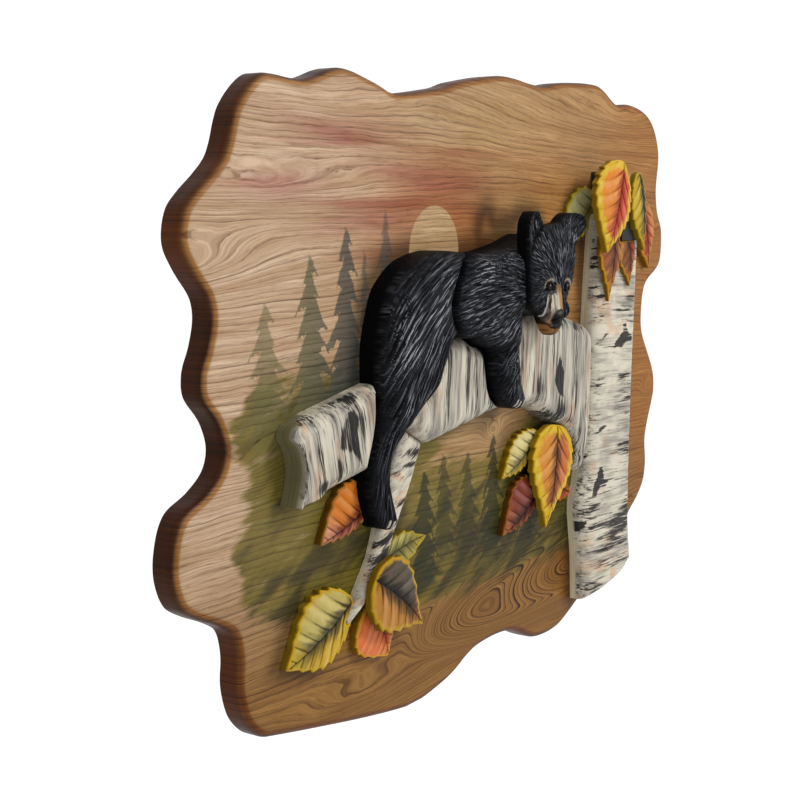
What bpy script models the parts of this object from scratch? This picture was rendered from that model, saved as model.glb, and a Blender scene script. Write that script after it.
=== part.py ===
"""Bear cub wall plaque: a scalloped wooden board with a black bear cub on a birch branch in layered relief.

Metres. The wall is the plane y = 0, the board hangs on it and its face looks along -y; x runs to the
right as seen from the front and z runs up. The origin is the middle of the board's back.
Places on the plaque are written in thousandths of the board's width (x) and height (z).
Heights are measured from the board's face.
"""

import math

import bmesh
import bpy
import numpy as np
from mathutils import Vector

# Board
BOARD_WIDTH = 0.780
BOARD_HEIGHT = 0.534
BOARD_THICKNESS = 0.019
BOARD_ROUND = 0.006

# Glue joint left between pieces that touch
GLUE_GAP = 0.0003

# Birch wood: height of the rim all round a piece and of its rounded middle
TRUNK_RIM = 0.0085
TRUNK_CROWN = 0.020
LOG_RIM = 0.0090
LOG_CROWN = 0.022
TWIG_RIM = 0.0055
TWIG_CROWN = 0.012
BARK_ROUND = 0.014
TWIG_ROUND = 0.008

# Bear: carved heights are blended between these
HIND_RIM = 0.019
HIND_CROWN = 0.039
SHOULDER_RIM = 0.026
SHOULDER_CROWN = 0.047
FUR_ROUND = 0.017
HEAD_SEAT = 0.0337
HEAD_THICKNESS = 0.020
HEAD_ROUND = 0.014
LUMP_ROUND = 0.006
PAW_RIM = 0.021
PAW_CROWN = 0.032
PAW_ROUND = 0.010

# How far the heights that are known at single places are blended
BODY_BLEND = 0.018
HEAD_RIM_BLEND = 0.008
HEAD_CROWN_BLEND = 0.010

# Leaves: thickness at the edge and how far the middle rises above it
LEAF_THICKNESS = 0.0060
LEAF_DOME = 0.0028
LEAF_ROUND = 0.020
LOW_LEAF_TOP = GLUE_GAP + LEAF_THICKNESS + LEAF_DOME
RISER_TOP = 0.0266

# Facet sizes along x and z, and how far a cutter reaches past what it opens
CUT_LEAF = (0.020, 0.020)
CUT_BEAR = (0.0085, 0.0085)
CUT_HEAD = (0.0055, 0.0055)
CUT_TRUNK = (0.0095, 0.0175)
CUT_LEFT_LOG = (0.012, 0.0085)
CUT_MIDDLE_LOG = (0.011, 0.0085)
CUT_RIGHT_LOG = (0.011, 0.0095)
CUT_TWIG = (0.007, 0.014)
CUTTER_REACH = 0.004

# Board outline, from the upper left corner clockwise through its lobes and hollows
BOARD_EDGE = (
    (-410, 401), (-390, 434), (-368, 451), (-313, 449), (-256, 470), (-196, 455),
    (-165, 444), (-74, 461), (-45, 472), (51, 492), (136, 485), (197, 496),
    (292, 500), (344, 472), (385, 474), (426, 466), (454, 448), (473, 416),
    (482, 376), (476, 313), (482, 270), (497, 232), (492, 163), (446, 122),
    (436, 64), (441, 28), (472, -34), (483, -66), (483, -103), (459, -184),
    (462, -238), (456, -279), (435, -311), (410, -335), (385, -374), (365, -427),
    (320, -449), (276, -455), (210, -492), (173, -498), (135, -491), (74, -457),
    (-3, -457), (-60, -485), (-144, -498), (-377, -436), (-395, -421), (-410, -393),
    (-418, -350), (-417, -307), (-427, -268), (-485, -223), (-500, -178), (-497, -131),
    (-485, -99), (-458, -80), (-437, -56), (-431, -26), (-440, 9), (-459, 43),
    (-460, 75), (-451, 105), (-445, 140), (-449, 168), (-468, 202), (-481, 238),
    (-473, 283), (-427, 341),
)
# Bear
HIND_EDGE = (
    (-128, 214), (-80, 210), (-64, 187), (-77, 165), (-92, 131), (-97, 97),
    (-115, 82), (-137, 22), (-146, 6), (-176, -24), (-212, -73), (-218, -109),
    (-215, -131), (-205, -172), (-209, -185), (-218, -187), (-231, -178), (-241, -157),
    (-249, -105), (-233, -28), (-232, 79), (-220, 140), (-209, 167), (-177, 199),
)
HIND_CORNERS = (1, 5)
SHOULDER_EDGE = (
    (-81, 210), (-41, 208), (14, 219), (56, 234), (72, 234), (87, 227),
    (97, 210), (95, 150), (87, 127), (64, 101), (32, 107), (17, 109),
    (17, 38), (40, -38), (36, -49), (26, -51), (3, -39), (-18, -11),
    (-27, 47), (-35, 58), (-51, 64), (-74, 80), (-100, 82), (-118, 109),
    (-123, 131), (-119, 150), (-97, 191), (-85, 204),
)
SHOULDER_CORNERS = (0, 11)
HEAD_EDGE = (
    (3.8, 209.7), (2.6, 232.2), (3.8, 250.9), (9, 264), (17.9, 272.5), (26.9, 268.7),
    (38.5, 248.1), (76.9, 253.7), (85.9, 261.2), (96.2, 267.8), (107.7, 269.7), (123.1, 267.8),
    (134.6, 263.1), (140.4, 252.8), (138.5, 243.4), (120.5, 224.7), (114.7, 211.6), (114.1, 176),
    (111.5, 157.3), (106.4, 140.4), (98.7, 125.5), (93.6, 110.5), (87.2, 78.7), (79.5, 69.9),
    (71.8, 67.8), (64.1, 69.9), (56.4, 77.5), (43.6, 100.2), (35.9, 108.6), (25.6, 115.2),
    (15.4, 124.5), (9, 136.7), (3.8, 177.9),
)
HEAD_CORNERS = (6, 16)
FAR_PAW_EDGE = (
    (107.7, 97.4), (115.4, 119.9), (126.9, 127.3), (138.5, 123.6), (144.9, 112.4), (146.2, 99.3),
    (141, 88), (128.2, 85.2), (115.4, 86.1),
)
# Birch wood
TRUNK_EDGE = (
    (260, 266), (369, 268), (368, 178), (359, -112), (359, -318), (369, -410),
    (347, -431), (315, -443), (277, -450), (240, -452), (230, -450), (226, -358),
    (217, -281), (219, -251), (227, -223), (236, -112), (241, 0), (256, 234),
)
TRUNK_CORNERS = (1, 5, 10)
LEFT_LOG_EDGE = (
    (-364, -26), (-363, -16), (-356, -8), (-330, 3), (-224, 31), (-224, -88),
    (-359, -118), (-351, -79), (-351, -62), (-356, -41),
)
LEFT_LOG_CORNERS = (0, 4, 5, 6)
# Left log's sawn end and the middle line from it, with the line's slope and half the log's width
LOG_END, LOG_END_MIDDLE, LOG_HALF, LOG_SLOPE = -364.1, -67.4, 53.4, 0.15
MIDDLE_LOG_EDGE = (
    (-173, 0), (-164, 38), (-128, 112), (-32, 112), (-6, 38), (1, 0),
    (17, -46), (-137, -77), (-172, -51), (-195, -34),
)
MIDDLE_LOG_CORNERS = (1, 2, 3, 6, 7, 8, 9)
RIGHT_LOG_EDGE = (
    (6, 112), (77, 116), (215, 69), (235, 41), (231, -112), (219, -182),
    (209, -198), (197, -187), (190, -150), (180, -120), (166, -105), (140, -94),
    (88, -58), (64, -51), (24, -48), (6, 38),
)
RIGHT_LOG_CORNERS = (0, 14, 15)
RISER_EDGE = (
    (270, 269), (270, 343), (305, 343), (320, 309), (336, 281), (336, 217),
    (292, 217), (292, 269),
)
TWIG_SPINE = (
    (-154, -62), (-172, -112), (-187, -154), (-200, -193), (-208, -219), (-217, -243),
    (-236, -275), (-267, -313),
)
TWIG_WIDTHS = (56.2, 58.1, 50.6, 39.3, 35.6, 33.7, 28.1, 5.6)

# Stations where a height is known, as a share of the rim or crown named above
HIND_RIMS = (
    (-232, 38, 0.95), (-154, 210, 0.95), (-90, 212, 0.95), (-103, 131, 1.55),
    (-128, 47, 1.05), (-212, -84, 0.95), (-224, -184, 0.9),
)
HIND_CROWNS = (
    (-167, 150, 1.0), (-128, 165, 0.95), (-96, 159, 0.84), (-173, 75, 0.97),
    (-147, 38, 0.9), (-192, 0, 0.86), (-220, -66, 0.72), (-232, -112, 0.68),
    (-222, -161, 0.68), (-212, 140, 0.92),
)
SHOULDER_RIMS = (
    (-119, 131, 1.38), (-90, 195, 1.2), (-64, 217, 0.75), (26, 230, 0.65),
    (-77, 79, 1.1), (-26, 47, 0.95), (13, -41, 0.9), (36, -28, 0.85),
    (17, 75, 0.9), (90, 168, 1.0),
)
SHOULDER_CROWNS = (
    (-103, 140, 0.87), (-70, 165, 0.98), (-32, 172, 1.0), (0, 159, 0.9),
    (0, 187, 0.9), (-58, 112, 0.96), (-15, 84, 0.9), (-3, 28, 0.82),
    (15, -22, 0.74), (32, 140, 0.86), (77, 168, 0.86),
)
HEAD_RIMS = (
    (3.8, 243.4, 0.6), (17.9, 271.5, 0.6), (35.9, 250.9, 0.55), (70.5, 250.9, 0.5),
    (115.4, 267.8, 0.6), (138.5, 250.9, 0.6), (125.6, 230.3, 0.6), (114.1, 187.3, 0.42),
    (102.6, 134.8, 0.38), (89.7, 93.6, 0.3), (71.8, 67.4, 0.3), (51.3, 86.1, 0.28),
    (38.5, 104.9, 0.32), (19.2, 119.9, 0.52), (5.1, 159.2, 0.6), (3.8, 196.6, 0.6),
)
HEAD_CROWNS = (
    (16.7, 258.4, 0.63), (20.5, 232.2, 0.66), (117.9, 254.7, 0.6), (105.1, 243.4, 0.64),
    (64.1, 228.5, 0.84), (64.1, 196.6, 0.9), (32.1, 196.6, 0.86), (96.2, 196.6, 0.84),
    (44.9, 157.3, 0.8), (88.5, 149.8, 0.76), (65.4, 168.5, 0.92), (25.6, 149.8, 0.78),
    (100, 164.8, 0.74), (61.5, 131.1, 0.9), (60.3, 104.9, 0.9), (71.8, 82.4, 0.62),
    (44.9, 116.1, 0.74), (84.6, 112.4, 0.7),
)
FACE_BUMPS = (
    ((62.8, 138.6), 13.1, 30, 0.0, 0.14),
    ((60.3, 106.7), 16.9, 15, 0.0, 0.12),
    ((61.5, 101.1), 11.2, 9.4, 0.0, 0.1),
    ((43.6, 153.6), 10.3, 8.4, 0.0, -0.1),
    ((88.5, 149.8), 9.4, 8.4, 0.0, -0.1),
    ((43.6, 168.5), 16.9, 7.5, 0.3, 0.08),
    ((88.5, 164.8), 15, 7.5, -0.3, 0.08),
    ((17.9, 250.9), 9.4, 13.1, 0.0, -0.1),
    ((123.1, 252.8), 16.9, 9.4, 0.1, -0.08),
)
# Leaves: stem, tip, width to the left and right of the midrib, widest place, teeth a side, taper,
# height of the back, thickness, paint and the pieces each one is fitted against
LEAVES = {
    "leaf_rust": ((-221.8, -144.2), (-307.1, -186.3), 0.16, 0.44, 0.42, 7, 0.9,
        0.0, LEAF_THICKNESS, "rust", ("log_left", "bear_hindquarters", "twig")),
    "leaf_olive": ((-206.9, -248.1), (-123.1, -225.5), 0.26, 0.2, 0.45, 5, 1.1,
        0.0, LEAF_THICKNESS, "olive", ("twig", "bear_hindquarters")),
    "leaf_red": ((-223.1, -292.1), (-194.9, -389.5), 0.42, 0.6, 0.45, 7, 1.0,
        0.0, LEAF_THICKNESS, "red", ("twig",)),
    "leaf_brown": ((-238.5, -254.7), (-152.6, -352.1), 0.39, 0.345, 0.38, 7, 1.2,
        TWIG_CROWN, LEAF_THICKNESS, "brown", ()),
    "leaf_yellow": ((-256.4, -282.8), (-361.5, -345.5), 0.33, 0.375, 0.47, 8, 1.1,
        0.0, LEAF_THICKNESS, "yellow", ("twig",)),
    "leaf_cream": ((126.9, -114.4), (38, -175.6), 0.18, 0.285, 0.5, 8, 1.1,
        0.0, LEAF_THICKNESS, "cream", ("log_right",)),
    "leaf_burgundy": ((132, -212.3), (40.5, -274.4), 0.18, 0.4, 0.45, 8, 1.1,
        0.0, LEAF_THICKNESS, "burgundy", ("leaf_cream",)),
    "leaf_tip": ((159.1, -214.2), (210.7, -240.6), 0.3, 0.3, 0.5, 3, 1.1,
        0.0, LEAF_THICKNESS, "rust", ("leaf_burgundy", "trunk")),
    "leaf_golden": ((150.8, -103), (125.6, -280.9), 0.42, 0.43, 0.34, 8, 1.2,
        LOW_LEAF_TOP, LEAF_THICKNESS, "golden", ()),
    "leaf_bent": ((273.1, 295.9), (175.6, 209.7), 0.22, 0.32, 0.42, 6, 0.9,
        0.0, LEAF_THICKNESS * 0.6, "yellow", ("leaf_riser", "trunk")),
    "leaf_scarlet": ((274.4, 359.6), (233.3, 197.6), 0.36, 0.5, 0.45, 9, 1.1,
        RISER_TOP, LEAF_THICKNESS, "scarlet", ()),
    "leaf_amber": ((274.4, 284.6), (263.5, 106.7), 0.26, 0.29, 0.45, 7, 1.5,
        TRUNK_CROWN, LEAF_THICKNESS * 0.6, "amber", ("leaf_riser",)),
    "leaf_umber": ((307.7, 265.9), (325, 131.1), 0.26, 0.29, 0.5, 7, 1.4,
        TRUNK_CROWN, LEAF_THICKNESS * 0.6, "brown", ("leaf_riser", "leaf_amber")),
    "leaf_green": ((320.5, 342.7), (342.3, 197.6), 0.16, 0.28, 0.42, 7, 1.2,
        RISER_TOP, LEAF_THICKNESS, "green", ("leaf_scarlet",)),
    "leaf_far": ((406.3, 292.2), (433.3, 158.7), 0.33, 0.3, 0.42, 6, 1.2,
        0.0, LEAF_THICKNESS, "red", ()),
}
LEAF_PAINTS = {
    "rust": (0.55, 0.20, 0.04), "olive": (0.42, 0.38, 0.12), "red": (0.62, 0.14, 0.06),
    "brown": (0.30, 0.18, 0.08), "yellow": (0.62, 0.47, 0.08), "cream": (0.75, 0.62, 0.25),
    "burgundy": (0.28, 0.08, 0.07), "golden": (0.68, 0.40, 0.08), "scarlet": (0.70, 0.16, 0.05),
    "amber": (0.50, 0.22, 0.06), "green": (0.22, 0.26, 0.08),
}


def place(x, z):
    """Metres from the board's middle for a place given in thousandths of the board."""
    return x * BOARD_WIDTH / 1000.0, z * BOARD_HEIGHT / 1000.0


def smooth_loop(points, steps, corners=()):
    """Closed smooth curve through the points; the points numbered in corners stay sharp."""
    marks = [np.array(place(*p)) for p in points]
    count = len(marks)
    loop = []
    for i in range(count):
        before, here, there, after = (marks[(i + k) % count] for k in (-1, 0, 1, 2))
        leave = (there - here) if i in corners else (there - before) * 0.5
        arrive = (there - here) if (i + 1) % count in corners else (after - here) * 0.5
        reach = np.linalg.norm(there - here)
        leave = leave * min(1.0, reach / max(np.linalg.norm(leave), 1e-9))
        arrive = arrive * min(1.0, reach / max(np.linalg.norm(arrive), 1e-9))
        for k in range(steps):
            t = k / steps
            loop.append(here * (2 * t**3 - 3 * t**2 + 1) + leave * (t**3 - 2 * t**2 + t)
                        + there * (3 * t**2 - 2 * t**3) + arrive * (t**3 - t**2))
    return np.array(loop)


def signed_area(loop):
    ahead = np.roll(loop, -1, axis=0)
    return 0.5 * float(np.sum(loop[:, 0] * ahead[:, 1] - ahead[:, 0] * loop[:, 1]))


def outset(loop, distance):
    """The loop moved outwards by a small distance."""
    turn = 1.0 if signed_area(loop) > 0 else -1.0
    back = loop - np.roll(loop, 1, axis=0)
    ahead = np.roll(loop, -1, axis=0) - loop
    back /= np.maximum(np.linalg.norm(back, axis=1), 1e-9)[:, None]
    ahead /= np.maximum(np.linalg.norm(ahead, axis=1), 1e-9)[:, None]
    middle = np.stack([back[:, 1] + ahead[:, 1], -back[:, 0] - ahead[:, 0]], axis=1) * turn
    middle /= np.maximum(np.linalg.norm(middle, axis=1), 1e-9)[:, None]
    spread = np.abs(middle[:, 0] * back[:, 1] - middle[:, 1] * back[:, 0])
    return loop + middle * (distance / np.maximum(spread, 0.5))[:, None]


def leaf_loop(stem, tip, left, right, widest, teeth, taper, tooth=0.035):
    """Serrated leaf outline; widths are shares of its length and a greater taper gives a longer tip."""
    start, end = np.array(place(*stem)), np.array(place(*tip))
    along = end - start
    length = float(np.linalg.norm(along))
    along /= length
    side = np.array([along[1], -along[0]])
    power = math.log(0.5) / math.log(widest)

    def edge(t, share, notch):
        swell = math.sin(math.pi * min(t, 0.9999)**power) ** (0.65 if t < widest else taper)
        out = math.copysign(max(abs(share) * swell - notch, 0.0), share)
        return start + (along * t + side * out) * length

    def flank(share):
        marks = []
        for k in range(teeth):
            first, last = (k + 0.15) / (teeth + 0.4), (k + 1.0) / (teeth + 0.4)
            marks.append(edge(first, share, tooth * min(1.0, 5.0 * first * (1.0 - first)) if k else 0.0))
            marks.append(edge(last, share, 0.0))
        return marks

    return np.array([edge(0.0, right, 0.0)] + flank(right) + [edge(1.0, right, 0.0)] + flank(-left)[::-1])


def strip_loop(spine, widths, steps):
    """Outline of a strip that follows the spine with the given widths in metres."""
    marks = [np.array(place(*p)) for p in spine]
    left, right = [], []
    for i, mark in enumerate(marks):
        ahead = marks[min(i + 1, len(marks) - 1)] - marks[max(i - 1, 0)]
        ahead /= np.linalg.norm(ahead)
        across = np.array([ahead[1], -ahead[0]]) * widths[i] * 0.5
        left.append(mark - across)
        right.append(mark + across)
    ring = right + left[::-1]
    scale = np.array([1000.0 / BOARD_WIDTH, 1000.0 / BOARD_HEIGHT])
    last = len(marks)
    return smooth_loop([tuple(p * scale) for p in ring], steps, (0, last - 1, last, 2 * last - 1))


def prism(name, loop, low, high):
    """Mesh between two heights above the board's face, from a filled and extruded 2-D curve."""
    curve = bpy.data.curves.new(name, "CURVE")
    curve.dimensions = "2D"
    curve.fill_mode = "BOTH"
    curve.extrude = (high - low) / 2.0
    spline = curve.splines.new("POLY")
    spline.points.add(len(loop) - 1)
    for point, (x, z) in zip(spline.points, loop):
        point.co = (x, z, 0.0, 1.0)
    spline.use_cyclic_u = True
    drawn = bpy.data.objects.new(name, curve)
    bpy.context.scene.collection.objects.link(drawn)
    drawn.rotation_euler = (math.pi / 2.0, 0.0, 0.0)
    drawn.location = (0.0, -BOARD_THICKNESS - (high + low) / 2.0, 0.0)
    bpy.context.view_layer.update()
    mesh = bpy.data.meshes.new_from_object(drawn.evaluated_get(bpy.context.evaluated_depsgraph_get()))
    mesh.transform(drawn.matrix_world)
    bpy.data.objects.remove(drawn)
    body = bmesh.new()
    body.from_mesh(mesh)
    bmesh.ops.remove_doubles(body, verts=body.verts, dist=1e-6)
    for level in (low, high):
        at = -BOARD_THICKNESS - level
        flat = [f for f in body.faces if all(abs(v.co.y - at) < 1e-6 for v in f.verts)]
        bmesh.ops.dissolve_faces(body, faces=flat)
    bmesh.ops.recalc_face_normals(body, faces=body.faces)
    body.to_mesh(mesh)
    body.free()
    piece = bpy.data.objects.new(name, mesh)
    bpy.context.scene.collection.objects.link(piece)
    return piece


def cutter(loop, low, high):
    """Hidden prism that makes room for a neighbour."""
    tool = prism("cutter", loop, low, high)
    bpy.context.scene.collection.objects.unlink(tool)
    cutters.objects.link(tool)
    tool.hide_render = True
    tool.display_type = "WIRE"
    return tool


def cut_away(piece, tools):
    """Takes the tools out of the piece."""
    for tool in tools:
        cut = piece.modifiers.new("cut", "BOOLEAN")
        cut.operation = "DIFFERENCE"
        cut.solver = "EXACT"
        cut.object = tool
    bpy.context.view_layer.update()
    mesh = bpy.data.meshes.new_from_object(piece.evaluated_get(bpy.context.evaluated_depsgraph_get()))
    piece.modifiers.clear()
    piece.data = mesh


def edge_distance(rim, x, z):
    """Distance from each place to the nearest of the rim's edges."""
    best = np.full(len(x), 1e9)
    for (px, pz), (qx, qz) in rim:
        sx, sz = qx - px, qz - pz
        t = np.clip(((x - px) * sx + (z - pz) * sz) / max(sx * sx + sz * sz, 1e-18), 0.0, 1.0)
        best = np.minimum(best, np.hypot(x - px - t * sx, z - pz - t * sz))
    return best


def blend(stations, x, z, soft=BODY_BLEND):
    """Smooth field through stations of (x, z, value)."""
    total, weight = np.zeros(len(x)), np.zeros(len(x))
    for sx, sz, value in stations:
        px, pz = place(sx, sz)
        share = 1.0 / ((x - px) ** 2 + (z - pz) ** 2 + soft**2) ** 2
        total += share * value
        weight += share
    return total / weight


def carve(piece, front, spacing, relief):
    """Cuts the flat front of a prism into facets and moves them to the heights that relief gives."""
    body = bmesh.new()
    body.from_mesh(piece.data)

    def on_front(vert):
        return abs(vert.co.y + BOARD_THICKNESS + front) < 1e-6

    def front_faces():
        return [f for f in body.faces if all(on_front(v) for v in f.verts)]

    bmesh.ops.dissolve_faces(body, faces=front_faces())
    flat = set(front_faces())
    rim = [[(v.co.x, v.co.z) for v in e.verts]
           for e in body.edges if sum(f in flat for f in e.link_faces) == 1]
    low, high = np.min(rim, axis=(0, 1)), np.max(rim, axis=(0, 1))
    for axis, normal in ((0, (1, 0, 0)), (1, (0, 0, 1))):
        step = spacing[axis]
        count = int((high[axis] - low[axis]) / step)
        margin = ((high[axis] - low[axis]) - count * step) / 2.0
        for k in range(count + 1):
            at = low[axis] + margin + k * step
            if at - low[axis] < 0.3 * step or high[axis] - at < 0.3 * step:
                continue
            top = front_faces()
            edges, corners = {e for f in top for e in f.edges}, {v for f in top for v in f.verts}
            bmesh.ops.bisect_plane(body, geom=[*top, *edges, *corners], dist=1e-5,
                                   plane_co=Vector(normal) * at, plane_no=normal)
    verts = [v for v in body.verts if on_front(v)]
    x = np.array([v.co.x for v in verts])
    z = np.array([v.co.z for v in verts])
    for vert, height in zip(verts, relief(x, z, edge_distance(rim, x, z))):
        vert.co.y = -BOARD_THICKNESS - height
    raised = set(verts)
    bmesh.ops.triangulate(body, faces=[f for f in body.faces if raised.intersection(f.verts)])
    bmesh.ops.recalc_face_normals(body, faces=body.faces)
    body.to_mesh(piece.data)
    body.free()


def round_rise(depth, radius):
    """Quarter-round profile, 0 at the rim and 1 from the given depth on."""
    share = np.clip(depth / radius, 0.0, 1.0)
    return np.sqrt(np.maximum(1.0 - (1.0 - share) ** 2, 0.0))


def material(name, colour, roughness=0.5):
    made = bpy.data.materials.new(name)
    made.use_nodes = True
    shader = made.node_tree.nodes["Principled BSDF"]
    shader.inputs["Base Color"].default_value = (*colour, 1.0)
    shader.inputs["Roughness"].default_value = roughness
    return made


def finish(piece, surface):
    piece.data.materials.clear()
    piece.data.materials.append(surface)
    for face in piece.data.polygons:
        face.material_index = 0


for old in list(bpy.data.objects):
    bpy.data.objects.remove(old)
cutters = bpy.data.collections.new("cutters")
bpy.context.scene.collection.children.link(cutters)

walnut = material("stained_wood", (0.36, 0.22, 0.11), 0.4)
birch = material("birch_paint", (0.75, 0.70, 0.60), 0.6)
fur = material("black_paint", (0.02, 0.02, 0.025), 0.45)
leafy = {name: material("leaf_" + name, colour, 0.5) for name, colour in LEAF_PAINTS.items()}
shadow = material("riser_paint", (0.02, 0.018, 0.015), 0.8)

# Outlines of every piece before the neighbours are cut out of it
board_loop = smooth_loop(BOARD_EDGE, 3)
hind_loop = smooth_loop(HIND_EDGE, 4, HIND_CORNERS)
shoulder_loop = smooth_loop(SHOULDER_EDGE, 4, SHOULDER_CORNERS)
head_loop = smooth_loop(HEAD_EDGE, 2, HEAD_CORNERS)
far_paw_loop = smooth_loop(FAR_PAW_EDGE, 3)
trunk_loop = smooth_loop(TRUNK_EDGE, 2, TRUNK_CORNERS)
left_log_loop = smooth_loop(LEFT_LOG_EDGE, 2, LEFT_LOG_CORNERS)
middle_log_loop = smooth_loop(MIDDLE_LOG_EDGE, 2, MIDDLE_LOG_CORNERS)
right_log_loop = smooth_loop(RIGHT_LOG_EDGE, 2, RIGHT_LOG_CORNERS)
riser_loop = smooth_loop(RISER_EDGE, 1, range(len(RISER_EDGE)))
twig_loop = strip_loop(TWIG_SPINE, [share * BOARD_HEIGHT / 1000.0 for share in TWIG_WIDTHS], 2)
leaf_loops = {name: leaf_loop(*row[:7]) for name, row in LEAVES.items()}


def room(loop, low=-CUTTER_REACH):
    """Cutter that leaves the glue joint round a neighbour's outline, from a height above the board up."""
    return cutter(outset(loop, GLUE_GAP), low, SHOULDER_CROWN + HEAD_THICKNESS)


# Board with a rounded front edge
board = prism("board", board_loop, -BOARD_THICKNESS, 0.0)
body = bmesh.new()
body.from_mesh(board.data)
front_rim = [e for e in body.edges if all(abs(v.co.y + BOARD_THICKNESS) < 1e-6 for v in e.verts)]
bmesh.ops.bevel(body, geom=front_rim, offset=BOARD_ROUND, segments=2, profile=0.5, affect="EDGES")
body.to_mesh(board.data)
body.free()
finish(board, walnut)

# Bear


def fur_relief(rim, rim_shares, crown, crown_shares):
    """Relief that rises from a rim of changing height to a crown of changing height."""
    def relief(x, z, depth):
        low = rim * blend(rim_shares, x, z)
        return low + np.maximum(crown * blend(crown_shares, x, z) - low, 0.0) * round_rise(depth, FUR_ROUND)
    return relief


hind = prism("bear_hindquarters", hind_loop, GLUE_GAP, HIND_CROWN)
cut_away(hind, [room(shoulder_loop)])
carve(hind, HIND_CROWN, CUT_BEAR, fur_relief(HIND_RIM, HIND_RIMS, HIND_CROWN, HIND_CROWNS))
finish(hind, fur)

shoulders = prism("bear_shoulders", shoulder_loop, GLUE_GAP, SHOULDER_CROWN)
carve(shoulders, SHOULDER_CROWN, CUT_BEAR,
      fur_relief(SHOULDER_RIM, SHOULDER_RIMS, SHOULDER_CROWN, SHOULDER_CROWNS))
cut_away(shoulders, [room(head_loop, HEAD_SEAT)])
finish(shoulders, fur)

head_base = HEAD_SEAT + GLUE_GAP
head_top = head_base + HEAD_THICKNESS


def bump(x, z, spot, wide, tall, turn=0.0):
    """Rounded lump of height 1 at a spot, with half sizes in thousandths of the board's height."""
    px, pz = place(*spot)
    dx, dz = x - px, z - pz
    ax = dx * math.cos(turn) + dz * math.sin(turn)
    az = -dx * math.sin(turn) + dz * math.cos(turn)
    half_wide, half_tall = place(0.0, wide)[1], place(0.0, tall)[1]
    return np.exp(-((ax / half_wide) ** 2 + (az / half_tall) ** 2))


def head_relief(x, z, depth):
    low = head_base + HEAD_THICKNESS * blend(HEAD_RIMS, x, z, HEAD_RIM_BLEND)
    high = head_base + HEAD_THICKNESS * blend(HEAD_CROWNS, x, z, HEAD_CROWN_BLEND)
    height = low + np.maximum(high - low, 0.0) * round_rise(depth, HEAD_ROUND)
    for spot, wide, tall, turn, rise in FACE_BUMPS:
        lump = bump(x, z, spot, wide, tall, turn) * round_rise(depth, LUMP_ROUND)
        height = height + rise * HEAD_THICKNESS * lump
    return np.minimum(height, head_top)


head = prism("bear_head", head_loop, head_base, head_top)
carve(head, head_top, CUT_HEAD, head_relief)
finish(head, fur)

far_paw = prism("bear_far_paw", far_paw_loop, GLUE_GAP, PAW_CROWN)
carve(far_paw, PAW_CROWN, CUT_BEAR, lambda x, z, depth: (
    PAW_RIM + (PAW_CROWN - PAW_RIM) * round_rise(depth, PAW_ROUND)))
finish(far_paw, fur)


# Birch wood
def bark(rim, crown, radius):
    return lambda x, z, depth: rim + (crown - rim) * round_rise(depth, radius)


trunk = prism("trunk", trunk_loop, GLUE_GAP, TRUNK_CROWN)
cut_away(trunk, [room(right_log_loop), room(riser_loop)])
carve(trunk, TRUNK_CROWN, CUT_TRUNK, bark(TRUNK_RIM, TRUNK_CROWN, BARK_ROUND))
finish(trunk, birch)


def log_relief(x, z, depth):
    """The left end is sawn square, so the rounding fades out towards it."""
    end = place(LOG_END, 0.0)[0]
    across = np.abs(z - (place(0.0, LOG_END_MIDDLE)[1] + (x - end) * LOG_SLOPE))
    across = across - place(0.0, LOG_HALF)[1]
    open_depth = np.maximum(depth, np.where(x < end + BARK_ROUND * 1.6, -across, 0.0))
    return LOG_RIM + (LOG_CROWN - LOG_RIM) * round_rise(open_depth, BARK_ROUND)


left_log = prism("log_left", left_log_loop, GLUE_GAP, LOG_CROWN)
cut_away(left_log, [room(hind_loop)])
carve(left_log, LOG_CROWN, CUT_LEFT_LOG, log_relief)
finish(left_log, birch)

middle_log = prism("log_middle", middle_log_loop, GLUE_GAP, LOG_CROWN)
cut_away(middle_log, [room(hind_loop), room(shoulder_loop), room(twig_loop)])
carve(middle_log, LOG_CROWN, CUT_MIDDLE_LOG, bark(LOG_RIM, LOG_CROWN, BARK_ROUND))
finish(middle_log, birch)

right_log = prism("log_right", right_log_loop, GLUE_GAP, LOG_CROWN)
cut_away(right_log, [room(shoulder_loop), room(far_paw_loop),
                     room(leaf_loops["leaf_golden"], LOW_LEAF_TOP)])
carve(right_log, LOG_CROWN, CUT_RIGHT_LOG, bark(LOG_RIM, LOG_CROWN, BARK_ROUND))
finish(right_log, birch)

twig = prism("twig", twig_loop, GLUE_GAP, TWIG_CROWN)
cut_away(twig, [room(hind_loop)])
carve(twig, TWIG_CROWN, CUT_TWIG, bark(TWIG_RIM, TWIG_CROWN, TWIG_ROUND))
finish(twig, birch)

riser = prism("leaf_riser", riser_loop, GLUE_GAP, RISER_TOP)
finish(riser, shadow)

# Leaves
NEIGHBOURS = {"log_left": left_log_loop, "log_right": right_log_loop, "trunk": trunk_loop,
              "twig": twig_loop, "bear_hindquarters": hind_loop, "leaf_riser": riser_loop, **leaf_loops}
for name, (*outline, level, thick, paint, beside) in LEAVES.items():
    rim_height = level + GLUE_GAP + thick
    piece = prism(name, leaf_loops[name], level + GLUE_GAP, rim_height + LEAF_DOME)
    if beside:
        cut_away(piece, [room(NEIGHBOURS[other]) for other in beside])
    carve(piece, rim_height + LEAF_DOME, CUT_LEAF, lambda x, z, depth: (
        rim_height + LEAF_DOME * round_rise(depth, LEAF_ROUND)))
    finish(piece, leafy[paint])
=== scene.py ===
"""Bear cub wall plaque: carved and painted surfaces of every piece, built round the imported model.

Places are in millimetres in the plane of the board, x to the right and z up, and heights are
measured from the board's face, as they are in the part's own source.
"""

import math
from types import SimpleNamespace

import bpy
import numpy as np
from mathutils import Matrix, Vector, kdtree
from mathutils.geometry import delaunay_2d_cdt


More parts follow.
